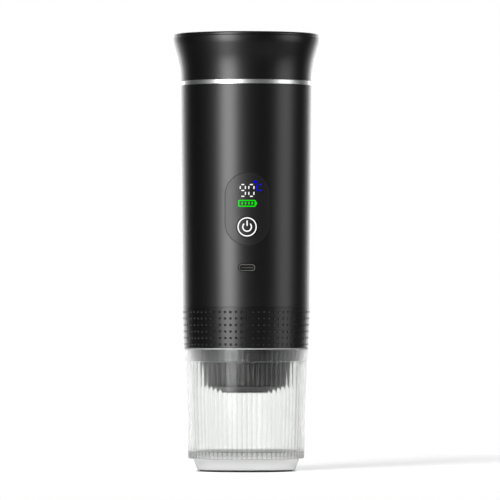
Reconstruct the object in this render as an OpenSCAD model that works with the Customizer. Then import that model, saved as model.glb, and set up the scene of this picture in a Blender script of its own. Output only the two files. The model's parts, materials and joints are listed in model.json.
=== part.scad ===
// Portable electric espresso maker that stands on its own ribbed cup.
// Millimetres, +Z up, front towards -Y, origin at the centre of the cup's foot on the table.
// From the table up: cup, brew head with its coffee basket, powered body, water tank, lid.

/* [Cup] */
// Height of the cup from the table to its rim
cup_h = 68; // [64:0.2:74]
// Outer diameter of the cup at its rim
cup_rim_d = 68.8; // [68:0.1:70]
// Diameter over the ribs where they end above the foot
cup_base_d = 64.8; // [62:0.1:67]
// Wall of the cup under the ribs
cup_wall = 2.2; // [1.8:0.1:2.6]
// Height of the bevelled foot
foot_h = 6.9; // [4:0.1:8]
// Diameter of the foot on the table
foot_d = 54.6; // [48:0.1:58]
// Diameter of the foot under the ribs
foot_top_d = 59.6; // [56:0.1:62]
// Width of the ring that the foot stands on
foot_land = 4; // [2:0.1:8]
// Depth of the hollow under the foot
foot_hollow = 1.2; // [0.6:0.1:3]
// Floor of the cup above the foot
cup_floor = 3.8; // [2:0.1:6]
// Radius between the cup's floor and its wall
cup_floor_fillet = 1.5; // [1:0.1:6]
// Height of the smooth band under the rim
band_h = 6.7; // [6:0.1:9]
// Number of ribs round the cup
rib_count = 72; // [36:1:84]
// How far a rib stands out of the wall
rib_rise = 0.45; // [0.3:0.05:0.6]
// Radius of a rib's rounded crest
rib_crest_r = 1.5; // [1.2:0.05:1.6]

/* [Brew head] */
// Height of the bright ring on the cup's rim
lower_trim_h = 0.7; // [0.6:0.1:2]
// Diameter of the bright ring on the cup's rim
lower_trim_d = 69.5; // [69:0.1:71]
// Height of the dotted collar
collar_h = 22.7; // [21:0.1:24]
// Diameter of the dotted collar at its top
collar_top_d = 71.3; // [70.6:0.1:72.6]
// Diameter of the dotted collar at its bottom
collar_bottom_d = 69.5; // [69:0.1:71]
// Thickness of the dotted grip sleeve
grip_t = 1.4; // [1.2:0.1:1.6]
// Rows of dots on the grip sleeve
dot_rows = 6; // [3:1:6]
// Dots in one row
dots_per_row = 72; // [48:1:84]
// Diameter of a dot
dot_d = 1.4; // [1:0.05:1.8]
// Depth of a dot
dot_depth = 0.5; // [0.2:0.05:0.6]
// Height from one row of dots to the next
dot_pitch = 3.6; // [2.4:0.05:3.7]
// Height of the top row of dots below the collar's top
dot_margin = 2.7; // [1.2:0.1:2.8]
// Length of the plain spigot that stands in the cup
spigot_h = 6.7; // [6:0.1:8]
// Gap between the spigot and the cup's mouth, which the cup seal fills
spigot_gap = 1; // [0.8:0.05:1.4]
// Height of the cup seal
seal_h = 2; // [1.6:0.1:3]
// Depth of the seal's groove in the spigot
seal_groove = 1; // [0.6:0.1:1.4]
// Thickness of the shelf that carries the capsule holder
shelf_t = 3.4; // [2:0.1:4]
// Diameter of the capsule holder above its taper
holder_d = 53.4; // [51:0.1:54]
// Diameter of the capsule holder at its bottom
holder_bottom_d = 48.8; // [47:0.1:50]
// Depth of the capsule holder below the shelf
holder_depth = 25.2; // [24:0.1:28]
// Width of the rim that the holder hangs by, beyond its body
holder_rim = 3.1; // [2.6:0.1:3.3]
// Height of the rim that the holder hangs by
holder_rim_h = 2.5; // [1.8:0.1:3]
// Wall and floor of the capsule holder
holder_wall = 2; // [1.6:0.1:2.4]
// Bevel round the holder's bottom edge
holder_bevel = 1.8; // [1:0.1:2.4]
// Diameter of the outlet nozzle
nozzle_d = 29.4; // [26:0.1:32]
// Height of the nozzle below the holder
nozzle_h = 3.3; // [2.4:0.1:5]
// Bevel round the nozzle's bottom edge
nozzle_bevel = 0.8; // [0.4:0.1:1.4]
// Diameter of the nozzle's outlet
outlet_d = 4.4; // [3:0.1:6]
// Width and height of the nozzle's inner flange
nozzle_flange = 1.5; // [1.2:0.1:2.2]
// Inside diameter of the coffee basket, a little over a standard capsule's flange
basket_d = 37.6; // [36.8:0.1:38.4]
// Wall and floor of the coffee basket
basket_wall = 1.4; // [1:0.1:1.8]
// Height of the basket's flange
basket_flange_h = 2; // [1.6:0.1:2.4]
// Overhang of the basket's flange on the holder's rim
basket_flange = 8; // [6:0.1:8.4]
// Thickness of the filter screen
screen_t = 0.8; // [0.5:0.1:1.2]
// Diameter of a hole in the filter screen
screen_hole_d = 1.2; // [0.8:0.1:1.6]
// Rings of holes in the filter screen
screen_rings = 4; // [2:1:4]
// Height of the chamber gasket
gasket_h = 3; // [2:0.1:3.6]
// Width of the chamber gasket
gasket_w = 5.6; // [4:0.1:6.4]

/* [Body] */
// Height of the outer sleeve
body_h = 123.7; // [120:0.1:140]
// Diameter of the sleeve at its bottom
body_bottom_d = 71; // [70:0.1:73]
// Diameter of the sleeve at its top
body_top_d = 73.2; // [72.6:0.1:75]
// Wall of the sleeve
body_wall = 1.6; // [1.4:0.1:1.9]
// Wall left at the sleeve's bottom edge, where it sits over the base
body_lip = 0.9; // [0.7:0.05:1.1]
// Height of that thinner edge
body_lip_h = 1.8; // [1.4:0.1:2.6]
// Thickness of the base plate above the sleeve's bottom edge
base_t = 4.3; // [3.6:0.1:6]
// Diameter of the base's threaded spigot over its thread
thread_d = 60; // [59.4:0.1:60.4]
// Height of the water space above the piercing plate
plenum_h = 5; // [3:0.1:6]
// Diameter of the water space above the piercing plate
plenum_d = 36; // [30:0.1:38]
// Diameter of the piercing plate
plate_d = 43; // [40:0.1:46]
// Thickness of the piercing plate
plate_t = 1.5; // [1:0.1:2]
// Length of a piercing needle
needle_l = 4.5; // [3:0.1:5]
// Thickness of a needle at the plate
needle_d = 2.4; // [1.6:0.1:3]
// Circle that the needles stand on
needle_circle_d = 16; // [10:0.2:22]
// Diameter of the check valve
valve_d = 6.8; // [5:0.1:8]
// Floor of the base under the check valve
valve_floor = 2; // [1.5:0.1:3]

/* [Controls] */
// Width of the control panel
panel_w = 24.4; // [21:0.1:26]
// Height of the control panel
panel_h = 40.1; // [37:0.1:44]
// Thickness of the control panel
panel_t = 0.9; // [0.7:0.05:1.1]
// Width of the ledge that the control panel sits on
panel_ledge = 1.6; // [1.2:0.1:2.2]
// Centre of the control panel above the middle of the frame
panel_up = 9.4; // [6.7:0.1:12.7]
// Diameter of the power button
button_d = 11.6; // [9:0.1:13]
// Centre of the power button above the panel's centre
button_up = -9.9; // [-11.3:0.1:-7.3]
// Travel of the power button
button_travel = 0.6; // [0.4:0.1:1]
// Width of the rim that holds the button behind the panel
button_rim = 1.2; // [0.8:0.1:1.6]
// Thickness of the button's rim
button_rim_t = 1.2; // [0.8:0.1:1.4]
// Width of the display's light block
display_w = 19; // [16:0.1:20]
// Height of the display's light block
display_h = 18; // [14:0.1:18.6]
// Depth of the display's light block
display_t = 5.5; // [5:0.1:6]
// Centre of the display above the panel's centre
display_up = 8; // [7.3:0.1:9.7]
// Width of the charging port's shell
port_w = 9.1; // [8.9:0.1:9.4]
// Height of the charging port's shell
port_h = 3.6; // [3.2:0.1:3.8]
// Wall of the charging port's shell
port_wall = 0.4; // [0.3:0.05:0.5]
// Gap between the port and its slot in the sleeve
port_gap = 0.5; // [0.3:0.05:0.8]
// Centre of the charging port above the panel's centre
port_up = -32.4; // [-35.3:0.1:-28.3]
// Width of the circuit board
board_w = 26; // [24:0.1:28]
// Thickness of the circuit board
board_t = 1.6; // [1:0.1:2]
// Length of board beyond the port and beyond the display
board_margin = 5; // [4:0.1:7]
// Diameter of the board's screws
board_screw_d = 1.8; // [1.4:0.1:2.2]
// Width of the push switch under the button
switch_w = 6; // [5:0.1:7]
// Height of the push switch on the board
switch_h = 3.4; // [3:0.1:4]
// Height of the push switch's tip above its case
switch_tip_h = 0.7; // [0.5:0.1:1]

/* [Power train] */
// Diameter of a battery cell
cell_d = 18.4; // [17.6:0.1:19]
// Length of a battery cell
cell_l = 65; // [62:0.1:68]
// Angle from the back cell to each side cell
cell_angle = 73.3; // [70:0.1:80]
// Thickness of the nickel strips on the cells
strip_t = 0.3; // [0.2:0.05:0.5]
// Width of the nickel strips
strip_w = 6; // [4:0.1:7]
// Thickness of the plates that hold the cells
cell_plate_t = 3; // [2:0.1:5]
// Distance of each plate from the cells' ends
cell_plate_inset = 8; // [5:0.1:12]
// Diameter of the pump and its motor
pump_d = 24; // [22:0.1:25]
// Height of the pump head
pump_head_h = 20; // [18:0.1:24]
// Height of the pump's gearbox
gearbox_h = 9; // [7:0.1:12]
// Height of the pump's motor
motor_h = 34; // [30:0.1:36]
// Outside diameter of the tank hose
hose_d = 5.6; // [5:0.1:6]
// Bore of the tank hose
hose_bore = 4; // [3.2:0.1:4.2]
// Thickness of the frame's floor and its top ring
frame_floor = 2; // [1.6:0.1:2.6]
// Wall of the frame
frame_wall = 1.5; // [1.2:0.1:1.8]
// Width of the frame's rails for the board
rail_w = 3; // [2.4:0.1:3.4]
// Depth of the frame's rails for the board
rail_t = 4; // [3:0.1:5]
// Diameter of the small screws' shanks
screw_d = 2.5; // [2:0.1:3]
// Distance of the frame's front screws from the middle
front_screw_x = 20; // [19:0.1:21]
// Distance of the frame's front screws in front of the axis
front_screw_y = 14; // [13:0.1:16]
// Distance of the frame's back screws from the middle
back_screw_x = 15; // [14:0.1:16]
// Distance of the frame's back screws behind the axis
back_screw_y = 24; // [23.4:0.1:24.6]
// Distance of the cradle's screws from the frame's edge
cradle_screw_inset = 4; // [3.6:0.1:5]
// Height of the hose's lower end above the pump's inlet
hose_seat = 3.4; // [3:0.1:5]
// Diameter of the wires
wire_d = 1.6; // [1.2:0.1:2]
// Spacing of the wires' pads on the board
pad_pitch = 2.7; // [2.4:0.1:2.8]

/* [Tank] */
// Height of the bright ring under the lid
upper_trim_h = 2.5; // [2:0.1:4]
// Diameter of the bright ring under the lid
upper_trim_d = 72.6; // [72:0.1:74]
// Diameter of the threaded neck under the lid
neck_d = 64; // [63:0.1:64.6]
// Height of the neck above the bright ring
neck_h = 10.2; // [9:0.1:10.6]
// Wall of the neck
neck_wall = 1.8; // [1.5:0.1:2.1]
// Height of the neck's skirt inside the sleeve
neck_skirt_h = 10; // [8:0.1:14]
// Floor of the neck ring, under the bright ring
neck_floor = 3; // [2:0.1:4]
// Wall of the neck's skirt and of the cradle
cradle_wall = 1.6; // [1.2:0.1:2]
// Depth of the steel tank from its rim
tank_h = 43.6; // [40:0.1:46]
// Sheet thickness of the steel tank
tank_wall = 0.8; // [0.5:0.1:1]
// Radius between the tank's floor and its wall
tank_fillet = 5; // [2:0.1:8]
// Thickness of the tank's gasket
tank_gasket_h = 0.8; // [0.6:0.1:1.2]
// Width of the tank's rim
tank_rim = 1.9; // [1.5:0.1:2]
// Thickness of the heater under the tank
heater_t = 3.5; // [2.5:0.1:5]
// Diameter of the heater
heater_d = 55; // [50:0.1:56]
// Diameter of the temperature sensor
sensor_d = 6; // [5:0.1:8]
// Height of the temperature sensor
sensor_h = 2.5; // [2:0.1:3]
// Thickness of the cradle's floor
cradle_floor = 3; // [2.4:0.1:4]
// Height of the ring that carries the heater
heater_seat_h = 2.5; // [2:0.1:4]
// Width of the ring that carries the heater
heater_seat_w = 2.5; // [2:0.1:4]
// Distance of each heater lead from the middle
heater_lead_x = 8; // [6:0.1:9]
// Distance of the heater leads in front of the axis
heater_lead_y = 17; // [15:0.1:18]

/* [Lid] */
// Height of the lid
lid_h = 26.3; // [25:0.1:30]
// Diameter of the lid at its bottom
lid_bottom_d = 73; // [72:0.1:74]
// Diameter of the lid's flared rim
lid_top_d = 81.8; // [79:0.1:86]
// Radius of the flare's hollow curve
flare_r = 50; // [45:0.5:58]
// Radius of the flare's round curve under the rim
crown_r = 15; // [10:0.5:20]
// Height of the rounded lip above the widest point
lip_h = 2; // [1.4:0.1:2.4]
// Wall of the flared shell
lid_wall = 1.8; // [1.5:0.1:2]
// Wall of the threaded liner
liner_wall = 1.85; // [1.5:0.05:1.95]
// Roof of the liner over the tank
liner_roof = 2; // [1.4:0.1:3]
// Thickness of the liner's flange
flange_t = 1.5; // [1:0.1:2]
// Gap between the liner's flange and the shell's wall
flange_gap = 0.7; // [0.4:0.1:1]
// Height of the lid's gasket
lid_gasket_h = 2; // [1.4:0.1:2.4]
// Width of the lid's gasket
lid_gasket_w = 3.2; // [2:0.1:4]
// Thickness of the top plate at its edge
top_plate_t = 3; // [2:0.1:3.4]
// Depth of the dish in the top plate
top_dish = 0.8; // [0.3:0.1:1.2]
// Width of the flat rim round the dish
top_rim_w = 2; // [1:0.1:4]
// Thickness of the ledge that carries the top plate
top_ledge_t = 1.5; // [1:0.1:2]
// Diameter of the vent valve's caps
vent_d = 7; // [5:0.1:9]

/* [Fits] */
// Gap between parts that turn or slide past each other
run_gap = 0.3; // [0.25:0.01:0.35]
// Gap round parts that are fixed together
fit_gap = 0.1; // [0.05:0.01:0.15]
// Open seam between the collar, the body and the lid
seam = 0.05; // [0.05:0.05:0.4]
// Bevel on the edges of the outer parts
edge = 0.1; // [0.1:0.05:0.5]

/* [Hidden] */
$fn = 96;

// Heights of the outer stack, from the table up
cup_floor_z = foot_h + cup_floor;
band_z = cup_h - band_h;
collar_z = cup_h + lower_trim_h;
collar_top = collar_z + collar_h;
body_z = collar_top + seam;
body_top = body_z + body_h;
ring_top = body_top + upper_trim_h;
lid_z = ring_top + seam;
lid_top_z = lid_z + lid_h;

// Heights inside the brew head
spigot_z = cup_h - spigot_h;
shelf_z = collar_z + shelf_t;
holder_rim_top = shelf_z + holder_rim_h;
holder_z = shelf_z - holder_depth;
nozzle_z = holder_z - nozzle_h;
nozzle_seat_z = holder_z + holder_wall;
basket_z = nozzle_seat_z + nozzle_flange;
basket_top = holder_rim_top + basket_flange_h;
thread_z = basket_top + gasket_h;

// Heights inside the body
base_top = body_z + base_t;
floor_top = base_top + frame_floor;
cells_z = floor_top + strip_t;
cells_top = cells_z + cell_l;
gearbox_z = floor_top + pump_head_h;
motor_z = gearbox_z + gearbox_h;
motor_top = motor_z + motor_h;
neck_top = ring_top + neck_h;
rim_z = neck_top + tank_gasket_h;
rim_top = rim_z + tank_wall;
tank_z = rim_top - tank_h;
heater_z = tank_z - heater_t;
cradle_floor_top = heater_z - heater_seat_h;
cradle_z = cradle_floor_top - cradle_floor;
skirt_z = body_top - neck_skirt_h;
hose_z = floor_top + pump_head_h / 2 + hose_seat;
valve_z = thread_z + plate_t + plenum_h + valve_floor;
screw_tip_z = base_top - 2.4 * screw_d;
frame_mid = (floor_top + cradle_z - frame_floor) / 2;
panel_z = frame_mid + panel_up;
button_z = panel_z + button_up;
display_z = panel_z + display_up;
port_z = panel_z + port_up;
board_z = port_z - port_h / 2 - board_margin;
board_top = display_z + display_h / 2 + board_margin;

// Heights inside the lid
liner_roof_z = rim_top + lid_gasket_h;
shoulder_z = liner_roof_z + liner_roof + fit_gap;
ledge_z = lid_top_z - lip_h / 2 - top_plate_t;

// Radii of the cup and brew head
cup_rim_r = cup_rim_d / 2;
cup_base_r = cup_base_d / 2;
mouth_r = cup_rim_r - cup_wall;
cup_lean = atan((cup_rim_r - cup_base_r) / (cup_h - foot_h));
spigot_r = mouth_r - spigot_gap;
seal_r = mouth_r - run_gap;
holder_r = holder_d / 2;
holder_bottom_r = holder_bottom_d / 2;
holder_bore_r = holder_bottom_r - holder_wall;
nozzle_r = nozzle_d / 2;
nozzle_flange_r = nozzle_r + 2 * nozzle_flange;
basket_r = basket_d / 2 + basket_wall;
thread_r = thread_d / 2;
thread_bore_r = thread_r + run_gap;

// Radii and places inside the body
base_r = body_bottom_d / 2 - body_wall - run_gap;
frame_r = base_r - run_gap;
frame_bore_r = frame_r - frame_wall;
cradle_r = sleeve_r(cradle_z) - body_wall - run_gap;
skirt_r = sleeve_r(skirt_z) - body_wall - run_gap;
neck_r = neck_d / 2;
neck_bore_r = neck_r - neck_wall;
tank_r = neck_bore_r - run_gap;
liner_bore_r = neck_r + run_gap;
liner_r = liner_bore_r + liner_wall;
cell_r = cell_d / 2;
cell_ring_r = frame_bore_r - run_gap - cell_r;
cell_places = [for (a = [-1, 0, 1]) let (turn = 90 + a * cell_angle) cell_ring_r * [cos(turn), sin(turn)]];
hose_y = cell_ring_r - cell_r - run_gap - hose_d / 2;
pump_r = pump_d / 2;
pump_y = hose_y - hose_d / 2 - run_gap - pump_r;
display_front = face_y(display_z, display_w / 2, body_wall + run_gap);
board_front = display_front + display_t;
board_back = board_front + board_t;
rail_x = board_w / 2 - rail_w / 2;
rail_back = board_back + fit_gap + rail_t;
pad_y = board_back + fit_gap + wire_d / 2;
switch_front = board_front - switch_h;
switch_tip = switch_front - switch_tip_h;
port_front = face_y(port_z, port_w / 2, run_gap);
button_back = face_y(button_z, 0, panel_t + run_gap + button_rim_t);
stub_r = hose_bore / 2 - fit_gap / 2;
screw_head_d = 1.8 * screw_d;
screw_head_h = 0.65 * screw_d;
frame_screw_places = [for (side = [-1, 1])
    each [[side * front_screw_x, -front_screw_y], [side * back_screw_x, back_screw_y]]];
cradle_screw_r = frame_r - cradle_screw_inset;

// The flare: a hollow curve that leaves the lid's bottom upright, a straight lean, and a round curve that is upright
// again at the rim. Curves too wide to meet keep the share of their radii and touch with no straight between them.
flare_h = lid_h - lip_h;
flare_out = (lid_top_d - lid_bottom_d) / 2;
flare_sum = min(flare_r + crown_r, (flare_h * flare_h + flare_out * flare_out) / (2 * flare_out));
flare_bend_r = flare_sum * flare_r / (flare_r + crown_r);
crown_bend_r = flare_sum - flare_bend_r;
flare_span = 2 * flare_sum - flare_out;
flare_root = sqrt(max(flare_h * flare_h - flare_span * flare_out, 0));
flare_lean = 2 * atan((flare_h - flare_root) / flare_span);
flare_bend_h = flare_bend_r * sin(flare_lean);
crown_bend_h = crown_bend_r * sin(flare_lean);

// Radii inside the lid
top_opening_r = flare_at(ledge_z) - lid_wall;
flange_r = flare_at(shoulder_z) - lid_wall - flange_gap;

// Overrun of cuts past the faces that they open, and the length of cuts from the axis out to the front
cut = 1;
front_cut = body_top_d;

// Outer radius of the sleeve at height z
function sleeve_r(z) = body_bottom_d / 2 + (body_top_d - body_bottom_d) / 2 * (z - body_z) / body_h;

// Outer radius of the cup's envelope at height z
function cup_r(z) = cup_base_r + (cup_rim_r - cup_base_r) * (z - foot_h) / (cup_h - foot_h);

// Outer radius of the dotted collar at height z
function collar_r(z) = collar_bottom_d / 2 + (collar_top_d - collar_bottom_d) / 2 * (z - collar_z) / collar_h;

// Inner radius of the cup below its mouth
function cup_bore_r(z) = cup_r(z) - rib_rise - cup_wall;

// Outer radius of the lid's flare at height z
function flare_at(z) = let (up = z - lid_z, down = max(flare_h - up, 0))
    up < flare_bend_h ? lid_bottom_d / 2 + flare_bend_r - sqrt(flare_bend_r * flare_bend_r - up * up)
        : down < crown_bend_h ? lid_top_d / 2 - crown_bend_r + sqrt(crown_bend_r * crown_bend_r - down * down)
        : lid_bottom_d / 2 + flare_bend_r * (1 - cos(flare_lean)) + (up - flare_bend_h) * tan(flare_lean);

// Y of the front surface, sunk by depth, at height z and half width x
function face_y(z, x, depth) = -sqrt(pow(sleeve_r(z) - depth, 2) - x * x);

// Points of an arc in the profile plane, from angle a to angle b
function arc(centre, r, a, b, steps = 8) =
    [for (i = [0 : steps]) let (t = a + (b - a) * i / steps) centre + r * [cos(t), sin(t)]];

// Catmull-Rom point between b and c at t from 0 to 1
function spline(a, b, c, d, t) =
    0.5 * (2 * b + (c - a) * t + (2 * a - 5 * b + 4 * c - d) * t * t + (3 * b - a - 3 * c + d) * t * t * t);

// A smooth line through the points, with the given steps between each pair
function smooth(p, steps = 4) = concat([for (i = [0 : len(p) - 2], k = [0 : steps - 1])
    spline(p[max(i - 1, 0)], p[i], p[i + 1], p[min(i + 2, len(p) - 1)], k / steps)], [p[len(p) - 1]]);

function unit(v) = v / norm(v);

// Solid of revolution about Z from a profile of [radius, height] points
module revolve(profile) rotate_extrude() polygon(profile);

// Upright or lying slot outline with round ends
module slot(w, h) {
    lying = w > h;
    square([lying ? w - h : w, lying ? h : h - w], center = true);
    for (side = [-1, 1])
        translate(side * [max(w - h, 0), max(h - w, 0)] / 2) circle(d = min(w, h));
}

// Prism of a front-view outline from the axis out to the front, centred at height z
module front_prism(z) translate([0, 0, z]) rotate([90, 0, 0]) linear_extrude(front_cut) children();

// Cylinder along Y between two Y values
module y_cylinder(x, z, d, y_front, y_back)
    translate([x, y_back, z]) rotate([90, 0, 0]) cylinder(d = d, h = y_back - y_front);

// Everything inside the sleeve's outer surface, sunk by depth
module sleeve_core(depth) revolve([[0, body_z - cut], [sleeve_r(body_z - cut) - depth, body_z - cut],
    [sleeve_r(body_top + cut) - depth, body_top + cut], [0, body_top + cut]]);

// Wire swept along a smooth line; side is a direction that the line never takes
module wire(points, side) {
    line = smooth(points);
    sides = 8;
    rings = [for (i = [0 : len(line) - 1])
        let (along = unit(line[min(i + 1, len(line) - 1)] - line[max(i - 1, 0)]),
            u = unit(cross(along, side)), v = cross(along, u))
        for (k = [0 : sides - 1]) let (t = 360 * k / sides)
            line[i] + wire_d / 2 * (cos(t) * u + sin(t) * v)];
    last = len(line) - 1;
    walls = [for (i = [0 : last - 1], k = [0 : sides - 1])
        let (a = i * sides + k, b = i * sides + (k + 1) % sides)
        each [[a, a + sides, b], [b, a + sides, b + sides]]];
    polyhedron(rings, concat(walls, [[for (k = [0 : sides - 1]) k]],
        [[for (k = [sides - 1 : -1 : 0]) last * sides + k]]));
}

// Clear cup: bevelled foot, ribbed wall that leans out, smooth band and mouth
module cup() color("whitesmoke", 0.4) difference() {
    union() {
        revolve([[0, foot_hollow], [foot_d / 2 - foot_land, foot_hollow],
            [foot_d / 2 - foot_land + foot_hollow, 0], [foot_d / 2, 0], [foot_top_d / 2, foot_h],
            [cup_base_r - rib_rise, foot_h],
            [cup_r(band_z) - rib_rise, band_z], [cup_r(band_z), band_z],
            [cup_rim_r, cup_h - edge], [cup_rim_r - edge, cup_h], [0, cup_h]]);
        cup_ribs();
    }
    corner = [cup_bore_r(cup_floor_z) - cup_floor_fillet, cup_floor_z + cup_floor_fillet];
    revolve(concat([[0, cup_floor_z]], arc(corner, cup_floor_fillet, -90, 0, 4),
        [[cup_bore_r(band_z), band_z - run_gap], [mouth_r, band_z - run_gap],
        [mouth_r, cup_h + cut], [0, cup_h + cut]]));
}

// Round ribs that lean with the wall, between the foot and the smooth band
module cup_ribs() intersection() {
    for (i = [0 : rib_count - 1])
        rotate(360 * i / rib_count) translate([cup_base_r - rib_crest_r, 0, foot_h]) rotate([0, cup_lean, 0])
            translate([0, 0, -edge]) cylinder(r = rib_crest_r, h = band_z - foot_h + 2 * edge, $fn = 32);
    translate([0, 0, foot_h]) cylinder(r = cup_rim_r + cut, h = band_z - foot_h);
}

// Dotted grip sleeve: a thin tapered sleeve with one narrow flat to each column of round dimples
module grip_sleeve() color("#1c1c1c") difference() {
    ball_r = (dot_d * dot_d / 4 + dot_depth * dot_depth) / (2 * dot_depth);
    lean = atan((collar_top_d - collar_bottom_d) / 2 / collar_h);
    flat_w = 1.25 * collar_top_d * tan(180 / dots_per_row);
    stock_r = max(collar_top_d, collar_bottom_d) / 2 + edge;
    revolve([[collar_r(collar_z) - grip_t, collar_z], [stock_r, collar_z],
        [stock_r, collar_top], [collar_r(collar_top) - grip_t, collar_top]]);
    for (i = [0 : dots_per_row - 1]) rotate(360 * i / dots_per_row - 90) {
        translate([collar_r(collar_z), 0, collar_z]) rotate([0, lean, 0])
            translate([0, -flat_w / 2, -edge]) cube([stock_r, flat_w, collar_h + 2 * edge]);
        for (row = [0 : dot_rows - 1]) {
            z = collar_top - dot_margin - row * dot_pitch;
            translate([collar_r(z) + ball_r - dot_depth, 0, z]) sphere(r = ball_r, $fn = 32);
        }
    }
}

// Threaded collar body behind the grip, with the shelf for the holder and the spigot for the cup
module head_core() color("#262626") {
    back_gap = grip_t + fit_gap;
    groove_z = spigot_z + (spigot_h - seal_h) / 2 - fit_gap;
    groove_top = groove_z + seal_h + 2 * fit_gap;
    revolve([[holder_r + run_gap, spigot_z], [spigot_r - edge, spigot_z], [spigot_r, spigot_z + edge],
        [spigot_r, groove_z], [spigot_r - seal_groove, groove_z],
        [spigot_r - seal_groove, groove_top], [spigot_r, groove_top],
        [spigot_r, collar_z], [collar_r(collar_z) - back_gap, collar_z],
        [collar_r(collar_top - seam) - back_gap, collar_top - seam], [thread_bore_r, collar_top - seam],
        [thread_bore_r, shelf_z], [holder_r + run_gap, shelf_z]]);
}

// Bright ring between the cup's rim and the collar
module lower_trim_ring() color("silver") revolve([
    [spigot_r + fit_gap, cup_h], [lower_trim_d / 2 - edge / 2, cup_h],
    [lower_trim_d / 2, cup_h + edge / 2], [lower_trim_d / 2, collar_z - edge / 2],
    [lower_trim_d / 2 - edge / 2, collar_z], [spigot_r + fit_gap, collar_z]]);

// Silicone ring that grips the cup's mouth
module cup_seal() color("dimgray") {
    seal_z = spigot_z + (spigot_h - seal_h) / 2;
    revolve([[spigot_r - seal_groove + fit_gap, seal_z], [seal_r - edge, seal_z], [seal_r, seal_z + edge],
        [seal_r, seal_z + seal_h - edge], [seal_r - edge, seal_z + seal_h],
        [spigot_r - seal_groove + fit_gap, seal_z + seal_h]]);
}

// Tapered cup that hangs by its rim on the shelf, its underside sloped down to the nozzle's bevel
module capsule_holder() color("#2e2e2e") revolve(concat(
    arc([holder_bottom_r - holder_bevel, holder_z + holder_bevel], holder_bevel, -90, 0, 4),
    [[holder_r, spigot_z], [holder_r, shelf_z], [holder_r + holder_rim, shelf_z],
    [holder_r + holder_rim, holder_rim_top], [holder_bore_r, holder_rim_top], [holder_bore_r, nozzle_seat_z],
    [nozzle_r + fit_gap, nozzle_seat_z], [nozzle_r + fit_gap, nozzle_z + nozzle_bevel]]));

// Funnel under the basket with one outlet
module outlet_nozzle() color("#303030") revolve([[outlet_d / 2, nozzle_z], [nozzle_r - nozzle_bevel, nozzle_z],
    [nozzle_r, nozzle_z + nozzle_bevel], [nozzle_r, nozzle_seat_z], [nozzle_flange_r, nozzle_seat_z],
    [nozzle_flange_r, basket_z], [nozzle_r - 2 * nozzle_flange, basket_z],
    [outlet_d / 2, nozzle_z + nozzle_flange]]);

// Steel basket for a capsule or for ground coffee
module coffee_basket() color("lightgray") {
    ledge_r = basket_d / 2 - 2 * basket_wall;
    revolve([[ledge_r, basket_z], [basket_r, basket_z], [basket_r, holder_rim_top],
        [basket_r + basket_flange, holder_rim_top], [basket_r + basket_flange, basket_top],
        [basket_d / 2, basket_top], [basket_d / 2, basket_z + basket_wall],
        [ledge_r, basket_z + basket_wall]]);
}

// Perforated disc on the basket's floor, with rings of six, twelve, eighteen and more holes
module filter_screen() color("gainsboro") translate([0, 0, basket_z + basket_wall]) {
    screen_r = basket_d / 2 - fit_gap;
    ring_step = (screen_r - 2 * screen_hole_d) / screen_rings;
    linear_extrude(screen_t) difference() {
        circle(r = screen_r);
        circle(d = screen_hole_d);
        for (ring = [1 : screen_rings], i = [0 : 6 * ring - 1])
            rotate(60 * i / ring) translate([ring * ring_step, 0]) circle(d = screen_hole_d, $fn = 24);
    }
}

// Silicone gasket between the basket and the body
module chamber_gasket() color("indianred") {
    gasket_r = basket_d / 2 + 4 * fit_gap;
    revolve([[gasket_r, basket_top], [gasket_r + gasket_w, basket_top],
        [gasket_r + gasket_w, thread_z], [gasket_r, thread_z]]);
}

// Tapered tube with the panel's pocket and window, and the port's slot
module outer_sleeve() color("#232323") difference() {
    revolve([[sleeve_r(body_z) - body_lip, body_z], [sleeve_r(body_z) - edge, body_z],
        [sleeve_r(body_z + edge), body_z + edge], [sleeve_r(body_top - edge), body_top - edge],
        [sleeve_r(body_top) - edge, body_top], [sleeve_r(body_top) - body_wall, body_top],
        [sleeve_r(body_z + body_lip_h) - body_wall, body_z + body_lip_h],
        [sleeve_r(body_z + body_lip_h) - body_lip, body_z + body_lip_h]]);
    difference() {
        front_prism(panel_z) slot(panel_w + 2 * fit_gap, panel_h + 2 * fit_gap);
        sleeve_core(panel_t + fit_gap / 2);
    }
    front_prism(panel_z) slot(panel_w - 2 * panel_ledge, panel_h - 2 * panel_ledge);
    front_prism(port_z) slot(port_w + 2 * port_gap, port_h + 2 * port_gap);
}

// Floor of the body: carries the frame, and ends in the spigot that screws into the collar
module base_plate() color("#2a2a2a") difference() {
    lip_gap = run_gap / 2;
    lip_r = sleeve_r(body_z) - body_lip - lip_gap;
    plate_top = thread_z + plate_t;
    revolve([[0, plate_top + plenum_h], [plenum_d / 2, plate_top + plenum_h], [plenum_d / 2, plate_top],
        [plate_d / 2 + fit_gap, plate_top], [plate_d / 2 + fit_gap, thread_z], [thread_r - edge, thread_z],
        [thread_r, thread_z + edge], [thread_r, body_z + lip_gap], [lip_r, body_z + lip_gap],
        [lip_r, body_z + body_lip_h], [base_r, body_z + body_lip_h],
        [base_r, base_top], [0, base_top]]);
    translate([0, pump_y, plate_top]) cylinder(d = valve_d / 2, h = base_top);
    translate([0, pump_y, valve_z]) cylinder(d = valve_d + 2 * fit_gap, h = base_top);
    for (p = frame_screw_places)
        translate([p.x, p.y, screw_tip_z]) cylinder(d = screw_d + fit_gap, h = base_top);
}

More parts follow.
